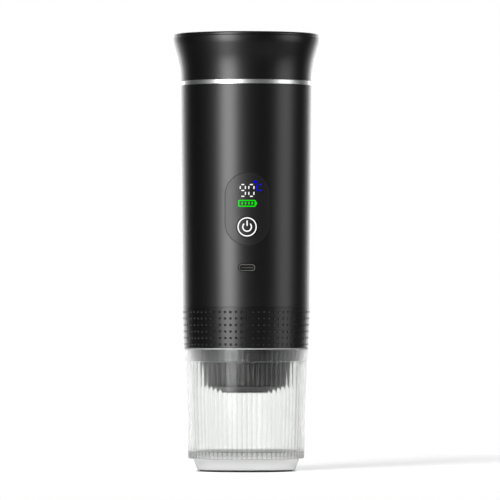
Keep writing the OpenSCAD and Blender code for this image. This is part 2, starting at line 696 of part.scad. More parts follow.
// Steel plate with water holes and hollow-ground needles
module piercing_plate() color("silver") {
    hole_circle_r = plenum_d / 2 - 2.5 * screen_hole_d;
    tip_r = needle_d / 12;
    root_z = needle_l + plate_t / 2;
    difference() {
        translate([0, 0, thread_z]) cylinder(d = plate_d, h = plate_t);
        for (i = [0 : 8])
            rotate(40 * i + 20) translate([hole_circle_r, 0, thread_z - cut])
                cylinder(d = screen_hole_d, h = plate_t + 2 * cut, $fn = 24);
    }
    for (i = [0 : 2])
        rotate(120 * i) translate([needle_circle_d / 2, 0, thread_z - needle_l])
            revolve([[0, 0], [tip_r, 0], [needle_d / 2, needle_l], [needle_d / 2, root_z], [0, root_z]]);
}

// Brass valve that lets water through one way only
module check_valve() color("goldenrod") translate([0, pump_y, valve_z]) difference() {
    cylinder(d = valve_d, h = base_top - valve_z);
    translate([0, 0, -cut]) cylinder(d = valve_d / 2, h = base_top);
}

// Moulded frame: floor, back wall, top ring with screw bosses and two rails for the board
module core_frame() color("#3a3a3a") difference() {
    ring_z = cradle_z - frame_floor;
    boss_d = screw_d + 2 * frame_wall;
    wall_front = pump_y - pump_r / 2;
    union() {
        translate([0, 0, base_top]) cylinder(r = frame_r, h = frame_floor);
        difference() {
            translate([0, 0, base_top]) cylinder(r = frame_r, h = cradle_z - base_top);
            translate([0, 0, floor_top]) cylinder(r = frame_bore_r, h = ring_z - floor_top);
            translate([0, 0, floor_top]) cylinder(r = cradle_screw_r - boss_d / 2, h = cradle_z);
            translate([-frame_r, wall_front - frame_r, floor_top])
                cube([2 * frame_r, frame_r, ring_z - floor_top]);
        }
        for (side = [-1, 1])
            translate([side * rail_x - rail_w / 2, board_back + fit_gap, base_top])
                cube([rail_w, rail_t, cradle_z - base_top]);
        for (i = [0 : 3])
            rotate(45 + 90 * i) translate([cradle_screw_r, 0, ring_z - 2 * screw_d])
                cylinder(d = boss_d, h = 2 * screw_d + frame_floor);
    }
    translate([0, pump_y, base_top - cut]) cylinder(d = valve_d, h = frame_floor + 2 * cut);
    for (p = frame_screw_places)
        translate([p.x, p.y, base_top - cut]) cylinder(d = screw_d + 2 * fit_gap, h = frame_floor + 2 * cut);
    for (i = [0 : 3])
        rotate(45 + 90 * i) translate([cradle_screw_r, 0, cradle_z - 2 * screw_d])
            cylinder(d = screw_d + fit_gap, h = cradle_z);
    for (side = [-1, 1], z = [board_z + rail_w, board_top - rail_w])
        y_cylinder(side * rail_x, z, board_screw_d + fit_gap, board_back, board_back + rail_w);
}

// Three round cells, one behind the pump and one at each side
module battery_cells() color("steelblue") for (p = cell_places)
    translate([p.x, p.y, cells_z]) cylinder(d = cell_d, h = cell_l);

// Nickel strips that join the cells at both ends, with a tab for each lead
module cell_strips() color("silver") for (z = [floor_top, cells_top])
    translate([0, 0, z]) linear_extrude(strip_t) {
        for (p = cell_places)
            translate(p) circle(d = strip_w);
        for (side = [0, 2]) {
            end = cell_places[side];
            span = end - cell_places[1];
            translate(cell_places[1]) rotate(atan2(span.y, span.x))
                translate([0, -strip_w / 2]) square([norm(span), strip_w]);
            translate([end.x - strip_w / 3, end.y - cell_r - strip_w / 2])
                square([strip_w * 2 / 3, cell_r + strip_w / 2]);
        }
    }

// Two plates that hold the cells and the pump upright in the frame, slotted for the pump's inlet
module cell_plates() color("#444444") {
    plate_front = pump_y - pump_r - screw_d;
    slot_w = hose_d + 2 * fit_gap;
    for (z = [cells_z + cell_plate_inset, cells_top - cell_plate_inset - cell_plate_t])
        translate([0, 0, z]) linear_extrude(cell_plate_t) difference() {
            circle(r = frame_bore_r - run_gap);
            translate([-frame_r, plate_front - 2 * frame_r]) square(2 * frame_r);
            for (p = cell_places)
                translate(p) circle(d = cell_d + 2 * fit_gap);
            translate([0, pump_y]) circle(r = pump_r + fit_gap);
            translate([0, hose_y]) circle(d = slot_w);
            translate([-slot_w / 2, pump_y]) square([slot_w, hose_y - pump_y]);
        }
}

// Pump head with its inlet elbow and its outlet down through the frame's floor
module pump_head() color("#555555") {
    elbow_z = floor_top + pump_head_h / 2;
    elbow_d = hose_d - 2 * fit_gap;
    translate([0, pump_y, floor_top]) cylinder(r = pump_r, h = pump_head_h);
    translate([0, pump_y, base_top]) cylinder(d = valve_d - 2 * fit_gap, h = frame_floor + cut);
    y_cylinder(0, elbow_z, elbow_d, pump_y, hose_y);
    translate([0, hose_y, elbow_z - elbow_d / 2]) cylinder(d = elbow_d, h = elbow_d / 2 + hose_seat);
    translate([0, hose_y, elbow_z]) cylinder(r = stub_r, h = 2 * hose_d);
}

// Reduction gear in its closed case
module pump_gearbox() color("#6a6a6a") translate([0, pump_y, gearbox_z])
    cylinder(r = pump_r - 2 * fit_gap, h = gearbox_h);

// Motor can with its end bearing and two terminals
module pump_motor() color("silver") {
    bearing_h = pump_d / 12;
    tag_w = pump_d / 12;
    tag_t = tag_w * 0.4;
    tag_h = pump_d / 8;
    translate([0, pump_y, motor_z]) cylinder(r = pump_r, h = motor_h);
    translate([0, pump_y, motor_top - cut]) cylinder(d = pump_d / 4, h = bearing_h + cut);
    for (side = [-1, 1])
        translate([side * pump_r / 2 - tag_w / 2, pump_y - pump_r / 2, motor_top - cut])
            cube([tag_w, tag_t, tag_h + cut]);
}

// Silicone hose from the tank's outlet to the pump
module tank_hose() color("white", 0.7) translate([0, hose_y, hose_z]) difference() {
    length = cradle_z - run_gap - hose_z;
    cylinder(d = hose_d, h = length);
    translate([0, 0, -cut]) cylinder(d = hose_bore, h = length + 2 * cut);
}

// Circuit board behind the panel
module circuit_board() color("darkgreen") difference() {
    translate([-board_w / 2, board_front, board_z]) cube([board_w, board_t, board_top - board_z]);
    for (side = [-1, 1], z = [board_z + rail_w, board_top - rail_w])
        y_cylinder(side * rail_x, z, board_screw_d + 2 * fit_gap, board_front - cut, board_back + cut);
}

// Light block of the display, with a pocket for the digits and one for the battery bar
module display_block() color("dimgray") translate([-display_w / 2, display_front, display_z - display_h / 2])
    difference() {
        frame_w = display_t / 3;
        pocket_w = display_w - 2 * frame_w;
        cube([display_w, display_t, display_h]);
        translate([frame_w, -cut, display_h / 2]) cube([pocket_w, 2 * cut, display_h / 2 - frame_w / 2]);
        translate([frame_w, -cut, frame_w]) cube([pocket_w, 2 * cut, display_h / 2 - 2 * frame_w]);
    }

// Push switch under the power button
module tact_switch() color("gray") {
    translate([-switch_w / 2, switch_front, button_z - switch_w / 2]) cube([switch_w, switch_h, switch_w]);
    y_cylinder(0, button_z, switch_w / 2, switch_tip, switch_front + cut);
}

// Steel shell of the charging port
module charging_port() color("silver") intersection() {
    front_prism(port_z) difference() {
        slot(port_w, port_h);
        slot(port_w - 2 * port_wall, port_h - 2 * port_wall);
    }
    translate([-port_w, port_front, port_z - port_h])
        cube([2 * port_w, board_front - port_front, 2 * port_h]);
}

// Contact tongue in the charging port, on its plug of black plastic
module port_tongue() color("#111111") {
    tongue_w = port_w - 6 * port_wall;
    tongue_h = port_h / 5;
    tongue_y = port_front + port_h / 4;
    plug_t = port_h / 4;
    translate([-tongue_w / 2, tongue_y, port_z - tongue_h / 2])
        cube([tongue_w, board_front - tongue_y, tongue_h]);
    intersection() {
        front_prism(port_z) slot(port_w - 2 * port_wall - fit_gap, port_h - 2 * port_wall - fit_gap);
        translate([-port_w, board_front - plug_t, port_z - port_h]) cube([2 * port_w, plug_t, 2 * port_h]);
    }
}

// Smoked panel, flush with the sleeve, with the button's hole
module control_panel() color("#1e1e20") difference() {
    intersection() {
        front_prism(panel_z) slot(panel_w, panel_h);
        sleeve_core(0);
    }
    sleeve_core(panel_t);
    y_cylinder(0, button_z, button_d + 2 * run_gap, -front_cut, 0);
}

// Round button, flush with the panel, with a rim behind the panel and a stem to the switch
module power_button() color("#202022") {
    intersection() {
        union() {
            intersection() {
                y_cylinder(0, button_z, button_d, -front_cut, 0);
                sleeve_core(0);
            }
            intersection() {
                y_cylinder(0, button_z, button_d + 2 * run_gap + 2 * button_rim, -front_cut, 0);
                sleeve_core(panel_t + run_gap);
            }
        }
        translate([-board_w, button_back - board_w, button_z - board_w])
            cube([2 * board_w, board_w, 2 * board_w]);
    }
    stem_end = switch_tip - button_travel - fit_gap;
    y_cylinder(0, button_z, switch_w / 2, button_back - button_rim_t / 2, stem_end);
}

// Cradle that carries the heater and the tank, and stands on the frame
module tank_cradle() color("#4a4a4a") difference() {
    seat_r = heater_d / 2 - heater_seat_w / 2.5;
    bore_h = cradle_floor + 2 * cut;
    revolve([[0, cradle_z], [cradle_r, cradle_z], [cradle_r, skirt_z], [cradle_r - cradle_wall, skirt_z],
        [cradle_r - cradle_wall, cradle_floor_top], [seat_r, cradle_floor_top], [seat_r, heater_z],
        [seat_r - heater_seat_w, heater_z], [seat_r - heater_seat_w, cradle_floor_top],
        [0, cradle_floor_top]]);
    translate([0, hose_y, cradle_z - cut]) cylinder(d = hose_d, h = bore_h);
    for (side = [-1, 1])
        translate([side * heater_lead_x, -heater_lead_y, cradle_z - cut])
            cylinder(d = wire_d + 2 * run_gap, h = bore_h);
    for (i = [0 : 3])
        rotate(45 + 90 * i) translate([cradle_screw_r, 0, cradle_z - cut])
            cylinder(d = screw_d + 2 * fit_gap, h = bore_h);
}

// Heating plate under the tank, with holes for the outlet and the sensor
module heater() color("peru") translate([0, 0, heater_z]) linear_extrude(heater_t) difference() {
    circle(d = heater_d);
    circle(d = sensor_d + 2 * fit_gap);
    translate([0, hose_y]) circle(d = hose_d);
}

// Temperature sensor against the tank's floor
module temperature_sensor() color("black")
    translate([0, 0, tank_z - sensor_h]) cylinder(d = sensor_d, h = sensor_h);

// Deep-drawn steel tank with a turned rim and an outlet stub
module water_tank() color("lightsteelblue") difference() {
    corner = [tank_r - tank_fillet, tank_z + tank_fillet];
    stub_z = cradle_z - 2 * hose_d;
    union() {
        revolve(concat([[0, tank_z]], arc(corner, tank_fillet, -90, 0),
            [[tank_r, rim_z], [tank_r + tank_rim, rim_z], [tank_r + tank_rim, rim_top],
            [tank_r - tank_wall, rim_top]],
            arc(corner, tank_fillet - tank_wall, 0, -90), [[0, tank_z + tank_wall]]));
        translate([0, hose_y, stub_z]) cylinder(r = stub_r, h = tank_z + tank_wall / 2 - stub_z);
    }
    translate([0, hose_y, stub_z - cut])
        cylinder(r = stub_r - tank_wall, h = tank_z + tank_wall - stub_z + 2 * cut);
}

// Gasket between the tank's rim and the neck
module tank_gasket() color("indianred") revolve([
    [neck_bore_r + fit_gap, neck_top], [neck_r - fit_gap, neck_top],
    [neck_r - fit_gap, rim_z], [neck_bore_r + fit_gap, rim_z]]);

// Threaded neck for the lid, on a skirt that closes the sleeve's top
module neck_ring() color("#282828") revolve([
    [neck_bore_r, body_top - neck_floor], [skirt_r - cradle_wall, body_top - neck_floor],
    [skirt_r - cradle_wall, skirt_z], [skirt_r, skirt_z], [skirt_r, body_top], [neck_r, body_top],
    [neck_r, neck_top], [neck_bore_r, neck_top]]);

// Bright ring between the body and the lid
module upper_trim_ring() color("silver") revolve([
    [neck_r + fit_gap, body_top], [upper_trim_d / 2 - edge, body_top],
    [upper_trim_d / 2, body_top + edge], [upper_trim_d / 2, ring_top - edge],
    [upper_trim_d / 2 - edge, ring_top], [neck_r + fit_gap, ring_top]]);

// Round-headed screw that points down, with the underside of its head at the origin
module screw(length) {
    cylinder(d = screw_head_d, h = screw_head_h);
    translate([0, 0, -length]) cylinder(d = screw_d, h = length + screw_head_h / 2);
}

// Screws that hold the frame to the base
module frame_screws() color("silver") for (p = frame_screw_places)
    translate([p.x, p.y, floor_top]) screw(floor_top - screw_tip_z - fit_gap);

// Screws that hold the cradle to the frame
module cradle_screws() color("silver") for (i = [0 : 3])
    rotate(45 + 90 * i) translate([cradle_screw_r, 0, cradle_floor_top])
        screw(cradle_floor + 2 * screw_d - fit_gap);

// Screws that hold the board to its rails
module board_screws() color("silver") for (side = [-1, 1], z = [board_z + rail_w, board_top - rail_w]) {
    y_cylinder(side * rail_x, z, 2 * board_screw_d, board_front - board_screw_d / 2, board_front);
    y_cylinder(side * rail_x, z, board_screw_d, board_front - board_screw_d / 4,
        board_back + rail_w - fit_gap);
}

// Leads from the nickel strips, past the pump and between the rails, to the back of the board
module battery_leads() color("red") {
    tab = [abs(cell_places[0].x), cell_places[0].y - cell_r - strip_w / 4];
    pad_x = 3 * pad_pitch;
    turn_y = rail_back + 2 * wire_d;
    for (lead = [[1, cells_top, board_top - 2 * rail_w], [-1, floor_top, board_z + 2 * rail_w]]) {
        side = lead[0];
        flat_z = lead[1] + strip_t + fit_gap + wire_d / 2;
        turn_z = flat_z + (lead[2] - flat_z) / 5;
        wire([[side * tab.x, tab.y, flat_z], [side * (tab.x + pad_x) / 2, (tab.y + turn_y) / 2, flat_z],
            [side * pad_x, turn_y, turn_z], [side * pad_x, pad_y, lead[2]]], [0.3, 0.2, 1]);
    }
}

// Leads from the motor's terminals to the back of the board
module motor_leads() color("black") for (side = [-1, 1]) {
    tag = [side * pump_r / 2, pump_y - pump_r / 2 - fit_gap - wire_d / 2, motor_top + wire_d];
    wire([tag, tag + wire_d * [0, -2, 0.5],
        [side * pad_pitch, rail_back + wire_d / 2, motor_top + wire_d / 2],
        [side * pad_pitch, pad_y, board_top - 5 * wire_d]], [1, 0, 0.2]);
}

// Leads from the heater, through the cradle's floor, to the back of the board
module heater_leads() color("darkred") for (side = [-1, 1])
    wire([[side * heater_lead_x, -heater_lead_y, heater_z - fit_gap],
        [side * heater_lead_x, -heater_lead_y, cradle_z - wire_d / 2],
        [side * (heater_lead_x + 2 * pad_pitch) / 2, -heater_lead_y - 2 * wire_d, (cradle_z + board_top) / 2],
        [side * 2 * pad_pitch, pad_y, board_top - 2.5 * wire_d]], [1, 0.1, 0]);

// Gasket that the lid presses on the tank's rim
module lid_gasket() color("indianred") {
    gasket_r = neck_r - fit_gap;
    revolve([[gasket_r - lid_gasket_w, rim_top], [gasket_r, rim_top],
        [gasket_r, liner_roof_z], [gasket_r - lid_gasket_w, liner_roof_z]]);
}

// Threaded liner: skirt over the neck, roof over the tank, flange on the shell's shoulder
module lid_liner() color("#333333") difference() {
    roof_top = liner_roof_z + liner_roof;
    revolve([[0, liner_roof_z], [liner_bore_r, liner_roof_z], [liner_bore_r, lid_z + seam],
        [liner_r, lid_z + seam], [liner_r, shoulder_z], [flange_r, shoulder_z],
        [flange_r, shoulder_z + flange_t],
        [liner_bore_r, shoulder_z + flange_t], [liner_bore_r, roof_top], [0, roof_top]]);
    translate([0, 0, liner_roof_z - cut]) cylinder(d = vent_d / 2, h = liner_roof + 2 * cut);
}

// Silicone valve that lets air into the tank as it empties
module vent_valve() color("white") {
    cap_h = vent_d / 7;
    translate([0, 0, liner_roof_z - cap_h]) cylinder(d = vent_d, h = cap_h);
    translate([0, 0, liner_roof_z - cap_h])
        cylinder(d = vent_d / 2 - 2 * fit_gap, h = liner_roof + 2 * cap_h);
    translate([0, 0, liner_roof_z + liner_roof]) cylinder(d = vent_d - cap_h, h = cap_h);
}

// Flared shell of the lid, open at the top for its plate
module lid_shell() color("#232323") {
    lip_r = lip_h / 2;
    rim_r = lid_top_d / 2;
    ledge_r = top_opening_r - lid_wall;
    ledge_foot = ledge_z - top_ledge_t;
    revolve(concat([[liner_r + fit_gap, lid_z], [lid_bottom_d / 2 - edge, lid_z],
        [flare_at(lid_z + edge), lid_z + edge]],
        [for (t = [0.1 : 0.1 : 1]) let (z = lid_z + edge + t * (flare_bend_h - edge)) [flare_at(z), z]],
        [for (t = [1 : -0.2 : 0]) let (z = lid_top_z - lip_h - t * crown_bend_h) [flare_at(z), z]],
        arc([rim_r - lip_r, lid_top_z - lip_r], lip_r, 0, 90, 6),
        [[top_opening_r + 2 * edge, lid_top_z], [top_opening_r, lid_top_z - lip_r],
        [top_opening_r, ledge_z], [ledge_r, ledge_z], [ledge_r, ledge_foot],
        [flare_at(ledge_foot) - lid_wall, ledge_foot],
        [flare_at(shoulder_z + flange_t) - lid_wall, shoulder_z + flange_t],
        [flange_r + fit_gap, shoulder_z], [liner_r + fit_gap, shoulder_z]]));
}

// Dished plate that closes the lid
module lid_top() color("#252525") {
    plate_r = top_opening_r - fit_gap;
    dish_r = plate_r - top_rim_w;
    plate_top = ledge_z + top_plate_t;
    revolve(concat([[0, ledge_z], [plate_r, ledge_z], [plate_r, plate_top - edge],
        [plate_r - edge, plate_top]],
        [for (t = [1 : -0.125 : 0]) [t * dish_r, plate_top - top_dish * (1 - t * t)]]));
}

cup();
grip_sleeve();
head_core();
lower_trim_ring();
cup_seal();
capsule_holder();
coffee_basket();
filter_screen();
outlet_nozzle();
chamber_gasket();
outer_sleeve();
base_plate();
piercing_plate();
check_valve();
core_frame();
battery_cells();
cell_strips();
cell_plates();
pump_head();
pump_gearbox();
pump_motor();
tank_hose();
circuit_board();
display_block();
tact_switch();
charging_port();
port_tongue();
control_panel();
power_button();
tank_cradle();
heater();
temperature_sensor();
water_tank();
tank_gasket();
neck_ring();
upper_trim_ring();
frame_screws();
cradle_screws();
board_screws();
battery_leads();
motor_leads();
heater_leads();
lid_gasket();
lid_liner();
vent_valve();
lid_shell();
lid_top();
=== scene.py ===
"""Portable espresso maker: outer pieces, lit marks, threads, finishes and a plain studio round its CAD frame."""
import json
import math

import bpy
import numpy as np
from bpy.props import FloatProperty, FloatVectorProperty, IntProperty, PointerProperty
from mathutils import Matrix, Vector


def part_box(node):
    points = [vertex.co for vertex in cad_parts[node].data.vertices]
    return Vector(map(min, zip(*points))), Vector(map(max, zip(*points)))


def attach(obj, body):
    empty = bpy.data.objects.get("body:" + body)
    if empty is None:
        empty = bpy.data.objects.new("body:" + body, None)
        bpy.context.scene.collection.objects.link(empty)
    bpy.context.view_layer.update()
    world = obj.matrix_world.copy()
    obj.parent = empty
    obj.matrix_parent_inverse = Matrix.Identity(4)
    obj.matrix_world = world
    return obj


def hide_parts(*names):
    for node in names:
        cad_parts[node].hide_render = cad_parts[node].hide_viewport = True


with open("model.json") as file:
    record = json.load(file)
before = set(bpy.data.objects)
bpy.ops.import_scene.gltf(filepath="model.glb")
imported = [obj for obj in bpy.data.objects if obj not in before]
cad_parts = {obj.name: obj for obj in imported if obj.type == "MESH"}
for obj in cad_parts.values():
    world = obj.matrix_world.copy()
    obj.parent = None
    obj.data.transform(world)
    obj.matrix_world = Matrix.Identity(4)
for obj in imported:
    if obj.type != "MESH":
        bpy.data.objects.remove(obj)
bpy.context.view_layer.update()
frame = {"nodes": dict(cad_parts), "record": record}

bl_info = {
    "name": "Portable espresso maker",
    "version": (1, 0, 0),
    "blender": (4, 5, 0),
    "location": "View3D > Sidebar > Espresso",
    "description": "Outer pieces, lit marks, finishes and stage of a portable espresso maker",
    "category": "Object",
}

MM = 0.001
CUP_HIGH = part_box("cup")[1]
GRIP_LOW, GRIP_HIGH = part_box("grip_sleeve")
SLEEVE_LOW, SLEEVE_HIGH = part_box("outer_sleeve")
SHELL_LOW, SHELL_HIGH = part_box("lid_shell")
PLATE_LOW, PLATE_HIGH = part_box("lid_top")
BUTTON_LOW, BUTTON_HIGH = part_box("power_button")
PANEL_LOW, PANEL_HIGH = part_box("control_panel")
SLOTS = {part["node"]: part["material_slot"] for part in frame["record"]["subparts"]}
# Columns round a plain turned piece, points of a rounded corner's arc, and of the corner with the two that hold it
COLUMNS, ARC, CORNER = 192, 5, 7
# Lamps of the stage: where each stands, and its width and height, in metres
KEY_PLACE, KEY_SIZE = (-0.634, -1.007, 0.6), (0.5, 1.8)
FILL_PLACE, FILL_SIZE = (1.13, -0.39, 0.34), (0.6, 0.92)
RIM_PLACE, RIM_SIZE = (0, 1.2, 0.16), (1.75, 1.3)
# Half width and height of the floor, and radius, underside and top of the disc that shades it
FLOOR_HALF, FLOOR_Z = 0.32, -0.2 * MM
DISC_R, DISC_LOW, DISC_TOP = 26 * MM, 1 * MM, 40 * MM
# Radii between which the painted contact shadow on the floor clears into the foot's hollow and clears beyond the foot,
# and between which the floor brightens
HOLLOW_SHADE_FADE, FOOT_SHADE_FADE, GLOW_FADE = (21 * MM, 19 * MM), (27 * MM, 28.5 * MM), (27.5 * MM, 29.5 * MM)
# Heights at which the cup's foot, solid base, ribbed wall and smooth band start, and the height that their steps span
CUP_ZONES, ZONE_SPAN = (0.5 * MM, 6.9 * MM, 10.65 * MM, 61.3 * MM), 100 * MM


def to_linear(hex_colour):
    """Linear red, green and blue of an sRGB hex colour: ((v + 0.055) / 1.055) to the power 2.4, or v / 12.92 near
    black."""
    value = np.array([int(hex_colour[i:i + 2], 16) for i in (1, 3, 5)]) / 255
    return tuple(float(v) for v in np.where(value <= 0.04045, value / 12.92, ((value + 0.055) / 1.055) ** 2.4))


def length(name, description, size_mm):
    """A length that a user can change, from its size in millimetres."""
    return FloatProperty(name=name, description=description, default=size_mm * MM, unit="LENGTH", subtype="DISTANCE",
                         precision=5)


def tint(name, description, hex_colour):
    """A colour that a user can change, from its sRGB hex value."""
    return FloatVectorProperty(name=name, description=description, default=to_linear(hex_colour), subtype="COLOR",
                               size=3, min=0, max=1)


def watts(name, description, default):
    """A lamp's power that a user can change."""
    return FloatProperty(name=name, description=description, default=default, subtype="POWER")


class EspressoCup(bpy.types.PropertyGroup):
    """Sizes of the ribbed cup."""
    foot_h: length("Foot height", "Height of the bevelled foot", 6.9)
    foot_r: length("Foot radius", "Radius of the foot on the table", 27.3)
    foot_top_r: length("Foot top radius", "Radius of the foot under the ribs", 29.8)
    foot_land: length("Foot ring", "Width of the ring that the foot stands on", 4)
    foot_hollow: length("Foot hollow", "Depth of the hollow under the foot", 1.2)
    foot_lip: length("Foot lip", "Height of the foot's outer edge above the ring that it stands on", 0.55)
    foot_lip_w: length("Foot lip width", "Width of the foot's raised outer edge", 1.6)
    base_r: length("Base radius", "Radius over the ribs above the foot", 32.4)
    floor_z: length("Floor height", "Height of the cup's inner floor", 10.7)
    floor_fillet: length("Floor fillet", "Radius between the floor and the wall", 1.5)
    wall: length("Wall", "Wall under the ribs", 2.2)
    band_h: length("Band height", "Height of the smooth band under the rim", 6.7)
    rib_count: IntProperty(name="Ribs", description="Ribs round the cup", default=72, min=24, max=96)
    rib_rise: length("Rib rise", "How far a rib stands out of the wall", 0.45)
    rib_crest_r: length("Rib crest", "Radius of a rib's rounded crest", 2.0)


class EspressoGrip(bpy.types.PropertyGroup):
    """Sizes of the dotted grip sleeve."""
    bottom_r: length("Bottom radius", "Radius of the sleeve at its bottom", 34.75)
    top_r: length("Top radius", "Radius of the sleeve at its top", 35.65)
    wall: length("Wall", "Thickness of the sleeve", 1.4)
    columns: IntProperty(name="Dots in a row", description="Dots round the sleeve", default=72, min=24, max=96)
    rows: IntProperty(name="Rows", description="Rows of dots", default=6, min=2, max=8)
    dot_d: length("Dot diameter", "Diameter of a dimple", 1.4)
    dot_depth: length("Dot depth", "Depth of a dimple", 0.5)
    pitch: length("Row spacing", "Height from one row to the next", 3.6)
    margin: length("Top margin", "Height of the top row below the sleeve's top", 2.7)


class EspressoLid(bpy.types.PropertyGroup):
    """Sizes of the flared lid."""
    bottom_r: length("Bottom radius", "Radius of the lid at its bottom", 36.5)
    flare_r: length("Flare radius", "Radius of the flare's hollow curve", 50)
    crown_r: length("Crown radius", "Radius of the flare's round curve under the rim", 15)
    lip_h: length("Lip height", "Height of the rounded lip above the widest point", 2)
    wall: length("Wall", "Wall of the flared shell", 1.8)
    bore_r: length("Bore radius", "Radius of the shell's bore over the liner", 34.25)
    shoulder_h: length("Shoulder height", "Height of the shoulder above the lid's bottom", 15.85)
    flange_t: length("Flange", "Thickness of the liner's flange on the shoulder", 1.5)
    flange_gap: length("Flange gap", "Gap between the liner's flange and the shell's wall", 0.6)
    ledge_t: length("Ledge", "Thickness of the ledge under the top plate", 1.5)
    dish: length("Dish", "Depth of the dish in the top plate", 0.8)
    dish_margin: length("Dish margin", "Flat rim round the dish", 2)
    edge_r: length("Edge radius", "Rounding of the lid's edges", 0.1)


class EspressoMarks(bpy.types.PropertyGroup):
    """Sizes and colours of the lit marks."""
    sleeve_r: length("Sleeve bottom radius", "Radius of the outer sleeve at its bottom", 35.5)
    rise: length("Rise", "How far a mark stands out of the panel", 0.06)
    digit_w: length("Digit width", "Width of a digit between its strokes' middles", 2.82)
    digit_h: length("Digit height", "Height of a digit between its strokes' middles", 6.5)
    digit_gap: length("Digit spacing", "Distance from one digit's centre to the next", 4.73)
    stroke: length("Stroke", "Width of a digit's stroke", 0.6)
    stroke_l: length("Stroke length", "Length of a digit's stroke over its round ends", 1.75)
    digits_up: length("Digits height", "Centre of the digits above the panel's centre", 10.25)
    battery_w: length("Battery width", "Width of the battery outline over its stroke", 9.7)
    battery_h: length("Battery height", "Height of the battery outline over its stroke", 3.8)
    battery_stroke: length("Battery stroke", "Width of the battery outline's stroke", 0.62)
    battery_up: length("Battery level", "Centre of the battery above the panel's centre", 3.1)
    ring_r: length("Ring radius", "Radius of the lit ring on the button", 5.0)
    glyph_r: length("Power radius", "Radius of the power symbol's arc", 2.4)
    ring_stroke: length("Ring stroke", "Width of the ring's stroke", 0.62)
    # The seam is painted shade: a black line where the gap round the panel lies in shade
    seam: length("Panel seam", "Width of the dark seam round the panel", 0.3)
    white: tint("Digits", "Colour of the digits and the ring", "#FFFFFF")
    blue: tint("Unit", "Colour of the temperature unit", "#0000FF")
    green: tint("Battery", "Colour of the battery", "#00E600")


class EspressoThreads(bpy.types.PropertyGroup):
    """Sizes of the two screw threads."""
    lead: length("Lead", "Rise of a thread in one turn", 12)
    starts: IntProperty(name="Starts", description="Ridges side by side", default=4, min=1, max=6)
    neck_r: length("Neck radius", "Radius of the neck under the lid", 32.0)
    spigot_r: length("Spigot radius", "Radius of the body's threaded spigot", 30.0)
    height: length("Height", "How far a ridge stands out", 0.22)
    width: length("Width", "Width of a ridge", 1.3)


class EspressoFinish(bpy.types.PropertyGroup):
    """Colours of the finishes."""
    body: tint("Body", "Satin black of the sleeve and the lid", "#030303")
    grip: tint("Grip", "Black of the dotted grip", "#030303")
    inner: tint("Inner parts", "Black of the brew head", "#080808")
    panel: tint("Panel", "Smoked control panel", "#040404")
    clear: tint("Cup", "Clear cup", "#FAFBFA")
    bright: tint("Upper ring", "Bright trim ring under the lid", "#D4D5D6")
    satin: tint("Lower ring", "Satin trim ring on the cup's rim", "#C2C3C4")
    steel: tint("Steel", "Stainless steel", "#C9C9C6")
    rubber: tint("Seals", "Silicone seals", "#0E0E0F")


class EspressoStage(bpy.types.PropertyGroup):
    """Camera, light and floor."""
    distance: length("Camera distance", "From the camera to the object's axis", 3200)
    camera_h: length("Camera height", "Height of the camera", 97)
    aim_h: length("Aim height", "Height that the camera looks at", 123.3)
    aim_x: length("Aim offset", "Sideways offset of the aim", 2.1)
    turn: FloatProperty(name="Camera turn", description="Turn of the camera round the object",
                        default=math.radians(-0.8), subtype="ANGLE", unit="ROTATION")
    frame_w: length("Frame width", "Width of the view at the object's axis", 279.6)
    ambient: FloatProperty(name="Ambient", description="Even light from the room", default=0.66, min=0, max=2)
    key: watts("Key lamp", "Power of the tall lamp at the left", 31.0)
    fill: watts("Fill lamp", "Power of the tall lamp at the right", 4.7)
    rim: watts("Rim lamp", "Power of the wide lamp behind, seen in reflections only", 19.5)
    floor: tint("Floor", "Pale floor", "#E6E6E6")
    floor_glow: FloatProperty(name="Floor glow", description="Brightening of the floor where it is seen", default=0.25)


class EspressoSettings(bpy.types.PropertyGroup):
    """All settings, one group for each group of pieces."""
    cup: PointerProperty(type=EspressoCup)
    grip: PointerProperty(type=EspressoGrip)
    lid: PointerProperty(type=EspressoLid)
    marks: PointerProperty(type=EspressoMarks)
    threads: PointerProperty(type=EspressoThreads)
    finish: PointerProperty(type=EspressoFinish)
    stage: PointerProperty(type=EspressoStage)


def rounded(points, radii, steps=ARC):
    """Profile of straight runs with a round arc of the given radius at each corner: the arc's centre lies on the
    corner's bisector at r / sin(half angle), and two points r / 2 before and after it hold the shading of the runs.
    Each corner gets steps + 2 points."""
    corner = np.asarray(points, float)
    radius = np.asarray(radii, float)[:, None]
    back = np.roll(corner, 1, 0) - corner
    ahead = np.roll(corner, -1, 0) - corner
    back /= np.linalg.norm(back, axis=1, keepdims=True)
    ahead /= np.linalg.norm(ahead, axis=1, keepdims=True)
    half = np.arccos(np.clip((back * ahead).sum(1, keepdims=True), -1, 1)) / 2
    reach = radius / np.tan(half)
    bisector = back + ahead
    bisector /= np.linalg.norm(bisector, axis=1, keepdims=True)
    centre = corner + bisector * radius / np.sin(half)
    start = corner + back * reach - centre
    end = corner + ahead * reach - centre
    sweep = np.pi - 2 * half
    s = np.linspace(0, 1, steps)[None, :, None]
    arc = (np.sin((1 - s) * sweep[:, None]) * start[:, None] + np.sin(s * sweep[:, None]) * end[:, None])
    arc = centre[:, None] + arc / np.sin(sweep[:, None])
    hold = 0.5 * radius
    before = (corner + back * (reach + hold))[:, None]
    after = (corner + ahead * (reach + hold))[:, None]
    return np.concatenate([before, arc, after], 1).reshape(-1, 2)


def turned(profile, columns, lift=0.0):
    """Surface turned about Z: at angle t a profile point (r, z) goes to ((r + lift) cos t, (r + lift) sin t, z)."""
    t = np.linspace(0, 2 * np.pi, columns, endpoint=False)[:, None]
    r = profile[None, :, 0] + lift * np.ones((columns, 1))
    z = np.broadcast_to(profile[None, :, 1], r.shape)
    return np.stack([r * np.cos(t), r * np.sin(t), z], -1)


